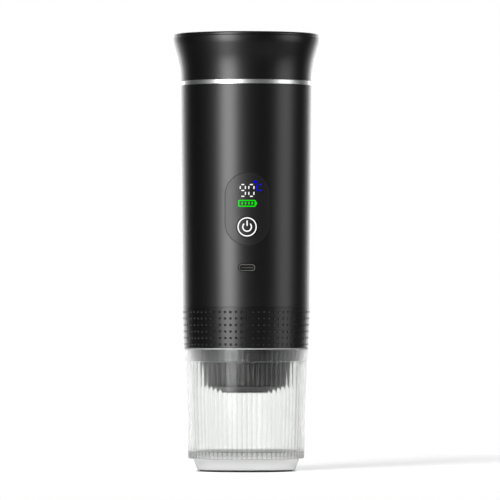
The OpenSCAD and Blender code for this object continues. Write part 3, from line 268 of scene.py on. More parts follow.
def skin(grid, ends):
    """Vertices and faces of a grid whose columns wrap round. With ends 'loop' the last row joins the first,
    and with ends 'poles' a fan closes each end at the row's middle point."""
    columns, rows = grid.shape[:2]
    near = np.arange(columns * rows).reshape(columns, rows)
    far = np.roll(near, -1, 0)
    if ends == "loop":
        quads = np.stack([near, far, np.roll(far, -1, 1), np.roll(near, -1, 1)], -1)
        return grid.reshape(-1, 3), quads.reshape(-1, 4).tolist()
    quads = np.stack([near[:, :-1], far[:, :-1], far[:, 1:], near[:, 1:]], -1).reshape(-1, 4)
    pole = np.full(columns, columns * rows)
    low = np.stack([pole, far[:, 0], near[:, 0]], -1)
    high = np.stack([pole + 1, near[:, -1], far[:, -1]], -1)
    points = np.concatenate([grid.reshape(-1, 3), [grid[:, 0].mean(0)], [grid[:, -1].mean(0)]])
    return points, quads.tolist() + low.tolist() + high.tolist()


def joined(shapes):
    """One shape of several, with each one's face numbers moved past those before it."""
    starts = np.cumsum([0] + [len(points) for points, _ in shapes])
    faces = [[i + start for i in face] for (_, part), start in zip(shapes, starts) for face in part]
    return np.concatenate([points for points, _ in shapes]), faces


def merged(node):
    """Vertices and faces of a copy of a CAD node, with corners closer than 0.0002 mm made one and slivers left out."""
    source = frame["nodes"][node].data
    points = np.zeros(len(source.vertices) * 3)
    source.vertices.foreach_get("co", points)
    corners = np.zeros(len(source.loops), np.int32)
    source.loops.foreach_get("vertex_index", corners)
    points = points.reshape(-1, 3)
    cell = np.round(points / (0.0002 * MM)).astype(np.int64)
    _, first, place = np.unique(cell, axis=0, return_index=True, return_inverse=True)
    faces = place.reshape(-1)[corners].reshape(-1, 3)
    return points[first], faces[(faces != np.roll(faces, 1, 1)).all(1)].tolist()


def make_piece(name, shape, body, slot, replaced=(), crease=40, finish=None):
    """A mesh object from a shape, its faces turned outwards by the sign of its volume, riding on a CAD body. It takes
    its slot's finish unless it is given one of its own."""
    points, faces = shape
    mesh = bpy.data.meshes.new(name)
    mesh.from_pydata(points.tolist(), [], faces)
    mesh.calc_loop_triangles()
    corners = np.zeros(len(mesh.loop_triangles) * 3, np.int32)
    mesh.loop_triangles.foreach_get("vertices", corners)
    a, b, c = points[corners.reshape(-1, 3)].transpose(1, 0, 2)
    if np.einsum("ij,ij->i", a, np.cross(b, c)).sum() < 0:
        mesh.flip_normals()
    mesh.polygons.foreach_set("use_smooth", np.ones(len(mesh.polygons), bool))
    mesh.set_sharp_from_angle(angle=math.radians(crease))
    mesh.materials.append(finish or slot_finishes()[slot])
    obj = bpy.data.objects.new(name, mesh)
    bpy.context.scene.collection.objects.link(obj)
    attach(obj, body)
    if replaced:
        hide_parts(*replaced)
    return obj


def feed(tree, node, inputs):
    """Sets a node's inputs: a socket is linked, another node is linked by its first output in use, and any other value
    goes on the input itself."""
    for key, value in inputs.items():
        if isinstance(value, bpy.types.Node):
            value = next(output for output in value.outputs if output.enabled)
        if isinstance(value, bpy.types.NodeSocket):
            tree.links.new(value, node.inputs[key])
        else:
            node.inputs[key].default_value = value


def add_node(tree, kind, inputs=None, **settings):
    """A shader node of the given kind with its settings and inputs."""
    node = tree.nodes.new("ShaderNode" + kind)
    for key, value in settings.items():
        setattr(node, key, value)
    feed(tree, node, inputs or {})
    return node


def new_finish(name, **constants):
    """A material with one Principled shader, its constant sockets set by name, and its Object coordinates. One that is
    there already comes back without its tree."""
    material = bpy.data.materials.get(name)
    if material:
        return material, None, None, None
    material = bpy.data.materials.new(name)
    material.use_nodes = True
    tree = material.node_tree
    shader = tree.nodes["Principled BSDF"]
    feed(tree, shader, {key.replace("_", " "): value for key, value in constants.items()})
    return material, tree, shader, add_node(tree, "TexCoord").outputs["Object"]


def grain(tree, shader, place, colour, size_mm, rough, depth_mm, spread, stretch=(1, 1, 1)):
    """Surface pattern from noise of the given real size: colour and roughness vary about their values, and bump
    gives the relief. stretch draws the pattern out along an axis, for turned or brushed faces."""
    scaled = add_node(tree, "Mapping", {"Vector": place, "Scale": stretch})
    noise = add_node(tree, "TexNoise", {"Vector": scaled, "Scale": 1 / (size_mm * MM), "Detail": 3.0})
    low, high = [tuple(min(1, max(0, c * k)) for c in colour) for k in (1 - spread, 1 + spread)]
    shade = add_node(tree, "Mix", {"Factor": noise, "A": (*low, 1), "B": (*high, 1)}, data_type="RGBA")
    gloss = add_node(tree, "MapRange", {"Value": noise, "To Min": rough[0], "To Max": rough[1]})
    feed(tree, shader, {"Base Color": shade, "Roughness": gloss})
    if depth_mm:
        relief = add_node(tree, "Bump", {"Height": noise, "Distance": depth_mm * MM, "Strength": 0.5})
        feed(tree, shader, {"Normal": relief})


def grained(name, colour, size_mm, rough, depth_mm=0.004, spread=0.08, stretch=(1, 1, 1), **constants):
    """A finish from its colour, its grain in millimetres, its range of roughness and its shader's constants."""
    material, tree, shader, place = new_finish(name, **constants)
    if tree:
        grain(tree, shader, place, colour, size_mm, rough, depth_mm, spread, stretch)
    return material


class ESPRESSO_OT_stage(bpy.types.Operator):
    """Camera at the photograph's angle, pale floor, even room light and three soft lamps"""
    bl_idname = "espresso.stage"
    bl_label = "Stage"

    def execute(self, context):
        s = context.scene.espresso.stage
        self.camera(context, s)
        self.room(context, s)
        self.floor(context, s)
        self.lamp(context, "key_lamp", KEY_PLACE, KEY_SIZE, s.key)
        fill = self.lamp(context, "fill_lamp", FILL_PLACE, FILL_SIZE, s.fill)
        fill.visible_transmission = False
        rim = self.lamp(context, "rim_lamp", RIM_PLACE, RIM_SIZE, s.rim)
        rim.visible_camera = rim.visible_transmission = rim.visible_diffuse = False
        context.scene.view_settings.view_transform = "Standard"
        return {"FINISHED"}

    def camera(self, context, s):
        """Long lens: the frame's width at the axis is sensor width * distance / lens."""
        data = bpy.data.cameras.new("camera")
        data.lens = data.sensor_width * s.distance / s.frame_w
        data.clip_end = 50
        camera = bpy.data.objects.new("camera", data)
        right = np.array([math.cos(s.turn), math.sin(s.turn), 0])
        back = np.array([math.sin(s.turn), -math.cos(s.turn), 0])
        camera.location = right * s.aim_x + back * s.distance + np.array([0, 0, s.camera_h])
        pitch = math.atan2(s.camera_h - s.aim_h, s.distance)
        camera.rotation_euler = (math.pi / 2 - pitch, 0, s.turn)
        context.scene.collection.objects.link(camera)
        context.scene.camera = camera

    def room(self, context, s):
        """White where the camera or glass looks, white behind the object for reflections, even grey for light."""
        world = bpy.data.worlds.new("room")
        world.use_nodes = True
        context.scene.world = world
        tree = world.node_tree
        path = add_node(tree, "LightPath").outputs
        direction = add_node(tree, "TexCoord").outputs["Generated"]
        ahead = add_node(tree, "SeparateXYZ", {"Vector": direction}).outputs["Y"]
        behind = add_node(tree, "MapRange", {"Value": ahead, "From Min": 0.5, "From Max": 0.86, "To Min": 0.01,
                                             "To Max": 0.8}, interpolation_type="SMOOTHSTEP")
        straight = add_node(tree, "Math", {0: path["Is Transmission Ray"], 1: path["Glossy Depth"]},
                            operation="GREATER_THAN")
        mirrored = add_node(tree, "Math", {0: path["Is Glossy Ray"], 1: path["Glossy Depth"]}, operation="MAXIMUM",
                            use_clamp=True)
        light = add_node(tree, "Mix", {"Factor": mirrored, "A": s.ambient, "B": behind})
        seen = add_node(tree, "Math", {0: path["Is Camera Ray"], 1: straight}, operation="MAXIMUM")
        strength = add_node(tree, "Mix", {"Factor": seen, "A": light, "B": 1.0})
        feed(tree, tree.nodes["Background"], {"Color": (1, 1, 1, 1), "Strength": strength})

    def floor(self, context, s):
        """Flat square just under the foot, with a painted contact shadow: dark under the ring that the foot stands on,
        and brightened to white where it is seen clear of it. A disc that only casts a shadow stands in the foot, for
        the shade of its thick base."""
        # Matt paper: pale, with no highlight, and painted dark under the foot's ring as its contact shadow
        material = bpy.data.materials.new("matt_paper_floor")
        material.use_nodes = True
        tree = material.node_tree
        path = add_node(tree, "LightPath").outputs
        seen = add_node(tree, "Math", {0: path["Is Camera Ray"], 1: path["Is Transmission Ray"]}, operation="MAXIMUM")
        seen = add_node(tree, "Math", {0: seen, 1: path["Is Glossy Ray"]}, operation="MAXIMUM")
        place = add_node(tree, "TexCoord").outputs["Object"]
        out = add_node(tree, "VectorMath", {0: place}, operation="LENGTH")
        # Painted contact shadow: near black under the foot's ring, clearing into the hollow and beyond the foot, where
        # the glow also starts
        hollow, beyond, bright = [
            add_node(tree, "MapRange", {"Value": out, "From Min": start, "From Max": end, "To Max": level})
            for (start, end), level in ((HOLLOW_SHADE_FADE, 1.0), (FOOT_SHADE_FADE, 1.0), (GLOW_FADE, s.floor_glow))]
        glow = add_node(tree, "Math", {0: seen, 1: bright}, operation="MULTIPLY")
        clear = add_node(tree, "Math", {0: beyond, 1: hollow}, operation="MAXIMUM")
        shade = add_node(tree, "Mix", {"Factor": clear, "A": (0.01, 0.01, 0.01, 1), "B": (*s.floor, 1)},
                         data_type="RGBA")
        paper = add_node(tree, "BsdfDiffuse", {"Color": shade})
        light = add_node(tree, "Emission", {"Strength": glow})
        total = add_node(tree, "AddShader", {0: paper, 1: light})
        feed(tree, tree.nodes["Material Output"], {"Surface": total})
        corners = np.array([(-1, -1), (1, -1), (1, 1), (-1, 1)]) * FLOOR_HALF
        self.put(context, "floor", (np.insert(corners, 2, FLOOR_Z, 1), [(0, 1, 2, 3)]), material)
        side = np.array([(DISC_R, DISC_LOW), (DISC_R, DISC_TOP)])
        disc = self.put(context, "shade_disc", skin(turned(side, 48), "poles"), material)
        disc.visible_camera = disc.visible_diffuse = disc.visible_glossy = disc.visible_transmission = False

    def put(self, context, name, shape, material):
        """A piece of the stage, which is no part of the object."""
        points, faces = shape
        mesh = bpy.data.meshes.new(name)
        mesh.from_pydata(points.tolist(), [], faces)
        mesh.materials.append(material)
        piece = bpy.data.objects.new(name, mesh)
        context.scene.collection.objects.link(piece)
        return piece

    def lamp(self, context, name, place, size, power):
        """Soft lamp that stands upright and faces the object's axis."""
        data = bpy.data.lights.new(name, "AREA")
        data.shape = "RECTANGLE"
        data.size, data.size_y = size
        data.energy = power
        lamp = bpy.data.objects.new(name, data)
        lamp.location = place
        lamp.rotation_euler = (math.pi / 2, 0, math.atan2(place[1], place[0]) + math.pi / 2)
        context.scene.collection.objects.link(lamp)
        return lamp


def clear_plastic(colour, ribs):
    """Clear moulded copolyester with a blasted foot: glass-like walls that grey a little where they are seen edge on,
    painted shade in grey lines along the valleys between the ribs, a greyer solid base, and a foot that takes the light
    evenly like frosted glass, on a ring painted near black as its contact shadow. Steps on the height give the zones,
    and a cosine round the cup gives the painted valley lines."""
    material, tree, shader, place = new_finish("copolyester_clear_blasted_foot", IOR=1.16, Coat_Weight=0.13,
                                               Coat_Roughness=0.06)
    if not tree:
        return material
    grain(tree, shader, place, colour, 9.0, (0.02, 0.05), 0.0, 0.02)
    x, y, height = add_node(tree, "SeparateXYZ", {"Vector": place}).outputs
    share = add_node(tree, "MapRange", {"Value": height, "From Max": ZONE_SPAN})

    def zones(*levels):
        """Steps up the cup: ring, foot, solid base, ribbed wall and smooth band."""
        ramp = add_node(tree, "ValToRGB", {"Fac": share})
        steps = ramp.color_ramp.elements
        ramp.color_ramp.interpolation = "CONSTANT"
        steps.remove(steps[1])
        steps[0].color = (*[levels[0]] * 3, 1)
        for start, level in zip(CUP_ZONES, levels[1:]):
            steps.new(start / ZONE_SPAN).color = (level, level, level, 1)
        return ramp

    # Painted shade: grey lines in the valleys between the ribs, full in the solid base and faint on the ribbed wall
    turn = add_node(tree, "Math", {0: y, 1: x}, operation="ARCTAN2")
    turn = add_node(tree, "Math", {0: turn, 1: ribs}, operation="MULTIPLY")
    wave = add_node(tree, "Math", {0: turn}, operation="COSINE")
    valley_shade = add_node(tree, "MapRange", {"Value": wave, "From Min": 0.1, "To Min": 1.0, "To Max": 0.35})
    painted_valley_shade = add_node(tree, "Mix", {"Factor": zones(0.0, 0.0, 1.0, 0.27, 0.0), "A": 1.0, "B": valley_shade})
    facing = add_node(tree, "LayerWeight", {"Blend": 0.5}).outputs["Facing"]
    facing = add_node(tree, "Math", {0: facing, 1: 2.0}, operation="POWER")
    edge = add_node(tree, "Math", {0: facing, 1: 2.0}, operation="POWER")
    edge = add_node(tree, "MapRange", {"Value": edge, "To Min": 1.0, "To Max": zones(0.8, 0.8, 0.4, 0.35, 0.35)})
    # Base colour: the ring that the foot stands on is painted near black as contact shadow, and the painted valley
    # shade is laid over the zones
    for socket, kind, level in (("Base Color", "MULTIPLY", zones(0.03, 0.83, 0.58, 1.0, 1.0)),
                                ("Base Color", "MULTIPLY", painted_valley_shade),
                                ("Base Color", "MULTIPLY", edge),
                                ("Roughness", "ADD", zones(0.45, 0.45, 0.2, 0.15, 0.4))):
        before = shader.inputs[socket].links[0].from_socket
        feed(tree, shader, {socket: add_node(tree, "VectorMath", {0: before, 1: level}, operation=kind)})
    clear = add_node(tree, "MapRange", {"Value": facing, "To Min": 1.0, "To Max": 0.58})
    feed(tree, shader, {"Transmission Weight": clear})
    return material


def lit_mark(name, colour):
    """Light through a printed window: even, a little brighter and dimmer from place to place."""
    material, tree, shader, place = new_finish(name, Base_Color=(0, 0, 0, 1), Roughness=0.6, Specular_IOR_Level=0.0,
                                               Emission_Color=(*colour, 1))
    if tree:
        noise = add_node(tree, "TexNoise", {"Vector": place, "Scale": 1 / (0.8 * MM), "Detail": 1.0})
        level = add_node(tree, "MapRange", {"Value": noise, "To Min": 1.04, "To Max": 1.2})
        feed(tree, shader, {"Emission Strength": level})
    return material


def slot_finishes():
    """The finish of each of the record's material slots."""
    settings = bpy.context.scene.espresso
    s = settings.finish
    # Smoked acrylic with a frosted face: its highlight is wider and a little lower than the body's
    smoked = grained("acrylic_smoked_frosted", s.panel, 0.4, (0.40, 0.44), 0.002, 0.06, IOR=1.49,
                     Specular_IOR_Level=0.5)
    return {
        "clear_plastic": clear_plastic(s.clear, settings.cup.rib_count),
        # Satin black painted ABS: soft wide highlights from a very fine even tooth, drawn coarser so that it shows
        "satin_black": grained("abs_satin_black_painted", s.body, 0.5, (0.34, 0.38), 0.002, IOR=1.5,
                               Specular_IOR_Level=0.47),
        # Black moulded grip, the same satin; its dimples, left by the mould's pins, take the same finish
        "grip_black": grained("abs_satin_black_dotted", s.grip, 0.5, (0.32, 0.36), 0.002, IOR=1.5,
                              Specular_IOR_Level=0.4),
        # Moulded black polypropylene of the brew head: greyer and duller than the body, with a faint flow pattern
        "inner_black": grained("polypropylene_black_moulded", s.inner, 1.2, (0.35, 0.39), 0.001, 0.06, IOR=1.49),
        # Chrome-plated ring, turned before plating: bright, with fine lines that run round it
        "bright_ring": grained("chrome_plated_turned", s.bright, 0.35, (0.33, 0.41), 0.002, 0.05, (0.05, 0.05, 1),
                               Metallic=1.0),
        "smoked_panel": smoked,
        "button_black": smoked,
        # Moulded black silicone: a dull sheen with a powdery grain
        "seal_rubber": grained("silicone_black_moulded", s.rubber, 0.3, (0.42, 0.52), 0.004, 0.1, IOR=1.41),
        # Deep-drawn stainless steel: a soft sheen with fine draw lines up the wall
        "bright_steel": grained("stainless_steel_drawn", s.steel, 0.4, (0.2, 0.34), 0.003, 0.06, (1, 1, 0.06),
                                Metallic=1.0),
        # Black-nickel-plated shell: dark warm grey metal with a soft sheen
        "port_steel": grained("black_nickel_plated_steel", to_linear("#706E6A"), 0.3, (0.42, 0.52), Metallic=1.0),
        # Glass-filled nylon: black and dull
        "port_plastic": grained("nylon_black_glass_filled", to_linear("#242424"), 0.2, (0.5, 0.6)),
        # Machined brass: warm yellow with fine marks
        "valve_brass": grained("brass_machined", to_linear("#C9A24B"), 0.3, (0.2, 0.3), Metallic=1.0),
        # Moulded frame: dark grey with a visible flow grain
        "frame_plastic": grained("abs_dark_grey_moulded", to_linear("#3A3B3D"), 1.0, (0.45, 0.6)),
        # Shrink wrap on the cells: smooth and slightly glossy blue
        "cell_wrap": grained("pvc_shrink_wrap_blue", to_linear("#2F5F93"), 2.0, (0.25, 0.4)),
        # Cast aluminium heating plate: pale and open-grained
        "heater_alloy": grained("aluminium_cast", to_linear("#B9B7B2"), 0.8, (0.4, 0.55), Metallic=1.0),
        # Glass-epoxy board under green mask: a fine weave and a soft gloss
        "board_green": grained("glass_epoxy_green_mask", to_linear("#1E5A34"), 0.6, (0.3, 0.45)),
        # Wire insulation: smooth red vinyl
        "wire_red": grained("vinyl_red_extruded", to_linear("#A3201C"), 1.5, (0.35, 0.45)),
    }


class ESPRESSO_OT_finishes(bpy.types.Operator):
    """Gives every CAD node the procedural finish of its material slot"""
    bl_idname = "espresso.finishes"
    bl_label = "Finishes"

    def execute(self, context):
        missing = sorted(set(frame["nodes"]) - set(SLOTS))
        if missing:
            raise RuntimeError(f"no material slot for {missing}")
        finishes = slot_finishes()
        for name, node in frame["nodes"].items():
            node.data.materials.clear()
            node.data.materials.append(finishes[SLOTS[name]])
        return {"FINISHED"}


class ESPRESSO_OT_cup(bpy.types.Operator):
    """Clear cup with its ribs, foot and smooth band"""
    bl_idname = "espresso.cup"
    bl_label = "Cup"

    def execute(self, context):
        """The profile is turned about Z. A rib's crest is an arc: at a distance d from its middle the wall drops by
        R - sqrt(R^2 - d^2), down to the rib's rise, and the drop fades out at both ends of the rib."""
        s = context.scene.espresso.cup
        rim_r, rim_z = CUP_HIGH.x, CUP_HIGH.z
        band_z = rim_z - s.band_h
        lean = (rim_r - s.base_r) / (rim_z - s.foot_h)
        band_r = s.base_r + lean * (band_z - s.foot_h)
        mouth_r = rim_r - s.wall
        bore_top = band_r - s.rib_rise - s.wall
        bore_low = s.base_r + lean * (s.floor_z - s.foot_h) - s.rib_rise - s.wall
        land_r, lip_r = s.foot_r - s.foot_land, s.foot_r - s.foot_lip_w
        step_z = band_z - 0.3 * MM
        # Rounding of the foot's lip, of plain edges, of the edge under the ribs and of the rim
        fine, edge, base_edge, soft = 0.1 * MM, 0.25 * MM, 0.35 * MM, 0.5 * MM
        # Heights over which a rib fades out at the foot and at the band, first row of the wall, and size of a pole
        low_fade, high_fade, first, pole = 1.0 * MM, 0.8 * MM, 0.6 * MM, 0.5 * MM
        wall_rows, samples = 26, 12
        z = np.linspace(s.foot_h + first, band_z, wall_rows)
        wall = np.stack([s.base_r + lean * (z - s.foot_h), z], 1)
        foot = rounded([(0, s.foot_hollow), (land_r, s.foot_hollow), (land_r + s.foot_hollow, 0), (lip_r, 0),
                        (lip_r, s.foot_lip), (s.foot_r, s.foot_lip), (s.foot_top_r, s.foot_h), (s.base_r, s.foot_h),
                        (s.base_r + lean * MM, s.foot_h + MM)],
                       [edge, edge, edge, fine, fine, edge, edge, base_edge, edge])[CORNER:-CORNER]
        mouth = rounded([(band_r, band_z), (rim_r, rim_z), (mouth_r, rim_z), (mouth_r, step_z), (bore_top, step_z),
                         (bore_low, s.floor_z), (0, s.floor_z)],
                        [edge, soft, soft, edge, edge, s.floor_fillet, edge])[CORNER:-CORNER]
        profile = np.concatenate([[[pole, s.foot_hollow]], foot, wall[:-1], mouth, [[pole, s.floor_z]]])
        columns = s.rib_count * samples
        phase = (np.arange(columns) % samples - samples / 2) / samples
        across = phase[:, None] * 2 * np.pi * profile[None, :, 0] / s.rib_count
        drop = s.rib_crest_r - np.sqrt(np.maximum(s.rib_crest_r ** 2 - across ** 2, 0))
        up, down = profile[:, 1] - s.foot_h, band_z - profile[:, 1]
        ends = np.clip(up / low_fade, 0, 1) * np.clip(down / high_fade, 0, 1)
        ribbed = np.zeros(len(profile))
        ribbed[len(foot) - CORNER + 1:len(foot) + len(wall)] = 1
        lift = -np.minimum(drop, s.rib_rise) * (ribbed * ends)[None]
        shape = skin(turned(profile, columns, lift), "poles")
        cup = make_piece("ribbed_cup", shape, "cup", "clear_plastic", ("cup",), 50)
        cup.visible_shadow = False
        return {"FINISHED"}


class ESPRESSO_OT_sleeve(bpy.types.Operator):
    """Tapered outer sleeve with its openings"""
    bl_idname = "espresso.sleeve"
    bl_label = "Outer sleeve"

    def execute(self, context):
        """The solid's own faces with their doubles merged. On the outer cone each corner takes the cone's true normal,
        (x / r, y / r, -slope), so that long thin faces beside the openings don't bend the highlight."""
        bottom_r, top_r = context.scene.espresso.marks.sleeve_r, SLEEVE_HIGH.x
        slope = (top_r - bottom_r) / (SLEEVE_HIGH.z - SLEEVE_LOW.z)
        points, faces = merged("outer_sleeve")
        sleeve = make_piece("tapered_sleeve", (points, faces), "main_body", "satin_black", ("outer_sleeve",), 30)
        mesh = sleeve.data
        corners = np.zeros(len(mesh.loops), np.int32)
        mesh.loops.foreach_get("vertex_index", corners)
        shading = np.zeros(len(mesh.loops) * 3, np.float32)
        mesh.corner_normals.foreach_get("vector", shading)
        flat = np.zeros(len(mesh.polygons) * 3, np.float32)
        mesh.polygons.foreach_get("normal", flat)
        x, y, z = points[corners].T
        r = np.hypot(x, y)
        true = np.stack([x / r, y / r, np.full(len(r), -slope)], 1) / math.hypot(1, slope)
        near = np.abs(r - bottom_r - slope * (z - SLEEVE_LOW.z)) < 0.05 * MM
        outer = near & ((np.repeat(flat.reshape(-1, 3), 3, 0) * true).sum(1) > 0.9)
        mesh.normals_split_custom_set(np.where(outer[:, None], true, shading.reshape(-1, 3)).tolist())
        return {"FINISHED"}


class ESPRESSO_OT_turned_parts(bpy.types.Operator):
    """Round inner parts that show through the cup or when the maker is opened, shaded smooth"""
    bl_idname = "espresso.turned_parts"
    bl_label = "Turned parts"

    def execute(self, context):
        bodies = {"brew_head": ("head_core", "capsule_holder", "outlet_nozzle", "cup_seal"),
                  "main_body": ("base_plate", "neck_ring", "water_tank"),
                  "lid": ("lid_liner",)}
        for body, nodes in bodies.items():
            for node in nodes:
                make_piece("smooth_" + node, merged(node), body, SLOTS[node], (node,), 30)
        return {"FINISHED"}


class ESPRESSO_OT_grip(bpy.types.Operator):
    """Dotted grip sleeve"""
    bl_idname = "espresso.grip"
    bl_label = "Grip sleeve"

    def execute(self, context):
        """Each dimple is a cap of a ball, in a cell of the sleeve's cone. Points of the cell lie on squares, numbered
        from its middle: those up to the rim are drawn in to circles, and those past it blend out to the cell's edge."""
        s = context.scene.espresso.grip
        z0, z1 = GRIP_LOW.z, GRIP_HIGH.z
        edge, inner_edge, half_h, tiny = 0.1 * MM, 0.05 * MM, 1.3 * MM, 1e-9
        ball = (s.dot_d ** 2 / 4 + s.dot_depth ** 2) / (2 * s.dot_depth)
        steps, rim, arc = 12, 4 / 6, 3
        u = (np.arange(s.columns * steps) % steps / steps * 2 - 1)[:, None]
        v = np.linspace(-1, 1, steps + 1)[None]
        spot = np.stack(np.broadcast_arrays(u, v), -1)
        ring = np.maximum(np.abs(u), np.abs(v))
        disc = spot / np.maximum(np.hypot(u, v), tiny)[..., None] * s.dot_d / 2
        cell = spot / np.maximum(ring, tiny)[..., None]
        inner = np.minimum(ring / rim, 1)[..., None]
        outer = np.clip((ring - rim) / (1 - rim), 0, 1)[..., None]
        far = np.linalg.norm(disc * inner, axis=-1)
        dip = np.where(ring < rim, np.sqrt(np.maximum(ball ** 2 - far ** 2, 0)) - (ball - s.dot_depth), 0)
        centre = (np.arange(s.columns * steps) // steps)[:, None] * 2 * np.pi / s.columns - np.pi / 2

        def cone(z):
            """Radius of the sleeve at height z."""
            return s.bottom_r + (s.top_r - s.bottom_r) * (z - z0) / (z1 - z0)

        def rings(profile):
            """Plain rows round the sleeve, in the same columns as the dots."""
            t = centre + u * np.pi / s.columns
            r, z = profile.T[:, None] * np.ones_like(t)
            return np.stack([r * np.cos(t), r * np.sin(t), z], -1)

        def dots(row):
            """One row of dimples, each with its cell, laid on the cone round the row's height."""
            middle = z1 - s.margin - row * s.pitch
            wide = np.pi * cone(middle) / s.columns
            offset = disc * inner * (1 - outer) + cell * (wide, half_h) * outer
            z = middle + offset[..., 1]
            t = centre + offset[..., 0] / cone(middle)
            r = cone(z) - dip
            return np.stack([r * np.cos(t), r * np.sin(t), z], -1)

        ends = rounded([(s.bottom_r - s.wall, z0), (s.bottom_r, z0), (s.top_r, z1), (s.top_r - s.wall, z1)],
                       [inner_edge, edge, edge, inner_edge], arc)
        low, high = np.split(ends, 2)
        grid = np.concatenate([rings(low), *[dots(row) for row in reversed(range(s.rows))], rings(high)], 1)
        make_piece("dotted_grip", skin(grid, "loop"), "brew_head", "grip_black", ("grip_sleeve",), 32)
        return {"FINISHED"}


class ESPRESSO_OT_lid(bpy.types.Operator):
    """Flared lid shell and its dished top plate"""
    bl_idname = "espresso.lid"
    bl_label = "Lid"

    def execute(self, context):
        s = context.scene.espresso.lid
        z0, z1, rim_r = SHELL_LOW.z, SHELL_HIGH.z, SHELL_HIGH.x
        rise = z1 - z0 - s.lip_h
        out = rim_r - s.bottom_r
        span = 2 * (s.flare_r + s.crown_r) - out
        lean = 2 * math.atan((rise - math.sqrt(rise ** 2 - span * out)) / span)
        bend, crown = s.flare_r * math.sin(lean), s.crown_r * math.sin(lean)

        def flare(z):
            """Radius at height z: a hollow arc that leaves the bottom upright, a straight lean, and a round arc that is
            upright again at the rim."""
            up = np.asarray(z) - z0
            down = np.maximum(rise - up, 0)
            hollow = s.flare_r - np.sqrt(np.maximum(s.flare_r ** 2 - up ** 2, 0))
            line = s.flare_r * (1 - math.cos(lean)) + (up - bend) * math.tan(lean)
            full = out - s.crown_r + np.sqrt(np.maximum(s.crown_r ** 2 - down ** 2, 0))
            return s.bottom_r + np.where(up < bend, hollow, np.where(down < crown, full, line))

        opening = PLATE_HIGH.x + 0.1 * MM
        ledge = PLATE_LOW.z
        foot = ledge - s.ledge_t
        shoulder = z0 + s.shoulder_h
        lip, fine = s.lip_h / 2, 0.1 * MM
        side_rows, arc = 48, 6
        side = np.linspace(z0 + 2 * s.edge_r, z1 - s.lip_h, side_rows)
        outer = np.stack([flare(side), side], 1)
        corners = rounded([(s.bore_r, z0), (s.bottom_r, z0), (rim_r, z1), (opening, z1),
                           (opening, ledge), (opening - s.wall, ledge), (opening - s.wall, foot),
                           (float(flare(foot)) - s.wall, foot),
                           (float(flare(shoulder + s.flange_t)) - s.wall, shoulder + s.flange_t),
                           (float(flare(shoulder)) - s.wall - s.flange_gap, shoulder), (s.bore_r, shoulder)],
                          [fine, s.edge_r, lip, s.edge_r] + [fine] * 7, arc)
        bottom = 2 * (arc + 2)
        profile = np.concatenate([corners[:bottom], outer, corners[bottom:]])
        make_piece("flared_lid", skin(turned(profile, COLUMNS), "loop"), "lid", "satin_black", ("lid_shell",), 35)
        plate_r, low, top = PLATE_HIGH.x, PLATE_LOW.z, PLATE_HIGH.z
        dish_r = plate_r - s.dish_margin
        dish_rows, pole = 24, 0.02
        t = np.linspace(1, pole, dish_rows)
        dish = np.stack([t * dish_r, top - s.dish * (1 - t ** 2)], 1)
        rim = rounded([(0, low), (plate_r, low), (plate_r, top), (0, top)], [fine, fine, s.edge_r, fine])
        profile = np.concatenate([[[pole * dish_r, low]], rim[CORNER:-CORNER], dish])
        make_piece("dished_lid_plate", skin(turned(profile, COLUMNS), "poles"), "lid", "satin_black", ("lid_top",), 35)
        return {"FINISHED"}


class ESPRESSO_OT_rings(bpy.types.Operator):
    """Bright trim rings on the cup's rim and under the lid"""
    bl_idname = "espresso.rings"
    bl_label = "Trim rings"

    def execute(self, context):
        s = context.scene.espresso.finish
        # Anodised aluminium ring, bead-blasted first: an even pale line with no sharp highlight
        satin = grained("anodised_aluminium_blasted", s.satin, 0.3, (0.66, 0.74), 0.003, 0.05, Metallic=1.0)
        inner_edge = 0.05 * MM
        # Node, body, bore, edge rounding, seam left above the ring, finish of its own
        rings = (("lower_trim_ring", "brew_head", 31.3 * MM, 0.1 * MM, 0.12 * MM, satin),
                 ("upper_trim_ring", "main_body", 32.1 * MM, 0.2 * MM, 0.0, None))
        for node, body, bore, edge, seam, finish in rings:
            low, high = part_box(node)
            top = high.z - seam
            profile = rounded([(bore, low.z), (high.x, low.z), (high.x, top), (bore, top)],
                              [inner_edge, edge, edge, inner_edge], 6)
            shape = skin(turned(profile, COLUMNS), "loop")
            make_piece("bright_" + node, shape, body, "bright_ring", (node,), 35, finish)
        return {"FINISHED"}


def stroke(path, width, rise, closed=False):
    """Raised stroke along a flat path: across it the outline is an ellipse of the stroke's width and rise, and an open
    stroke ends in half circles. Returns a grid of (x, z, height) with the ellipse round its columns."""
    path = np.asarray(path, float)
    half = np.full(len(path), width / 2)
    if not closed:
        t = np.linspace(0, np.pi / 2, 5)[1:-1]
        first, last = path[0] - path[1], path[-1] - path[-2]
        first, last = first / np.linalg.norm(first), last / np.linalg.norm(last)
        head = path[0] + np.sin(t)[::-1, None] * width / 2 * first
        tail = path[-1] + np.sin(t)[:, None] * width / 2 * last
        path = np.concatenate([head, path, tail])
        half = np.concatenate([width / 2 * np.cos(t)[::-1], half, width / 2 * np.cos(t)])
    if closed:
        along = np.roll(path, -1, 0) - np.roll(path, 1, 0)
    else:
        along = np.gradient(path, axis=0)
    along /= np.linalg.norm(along, axis=1, keepdims=True)
    across = np.stack([-along[:, 1], along[:, 0]], 1)
    turn = np.linspace(0, 2 * np.pi, 10, endpoint=False)[:, None, None]
    flat = path[None] + np.cos(turn) * half[None, :, None] * across[None]
    height = rise * np.sin(turn) * (2 * half / width)[None, :, None]
    return np.concatenate([flat, height], -1), "loop" if closed else "poles"


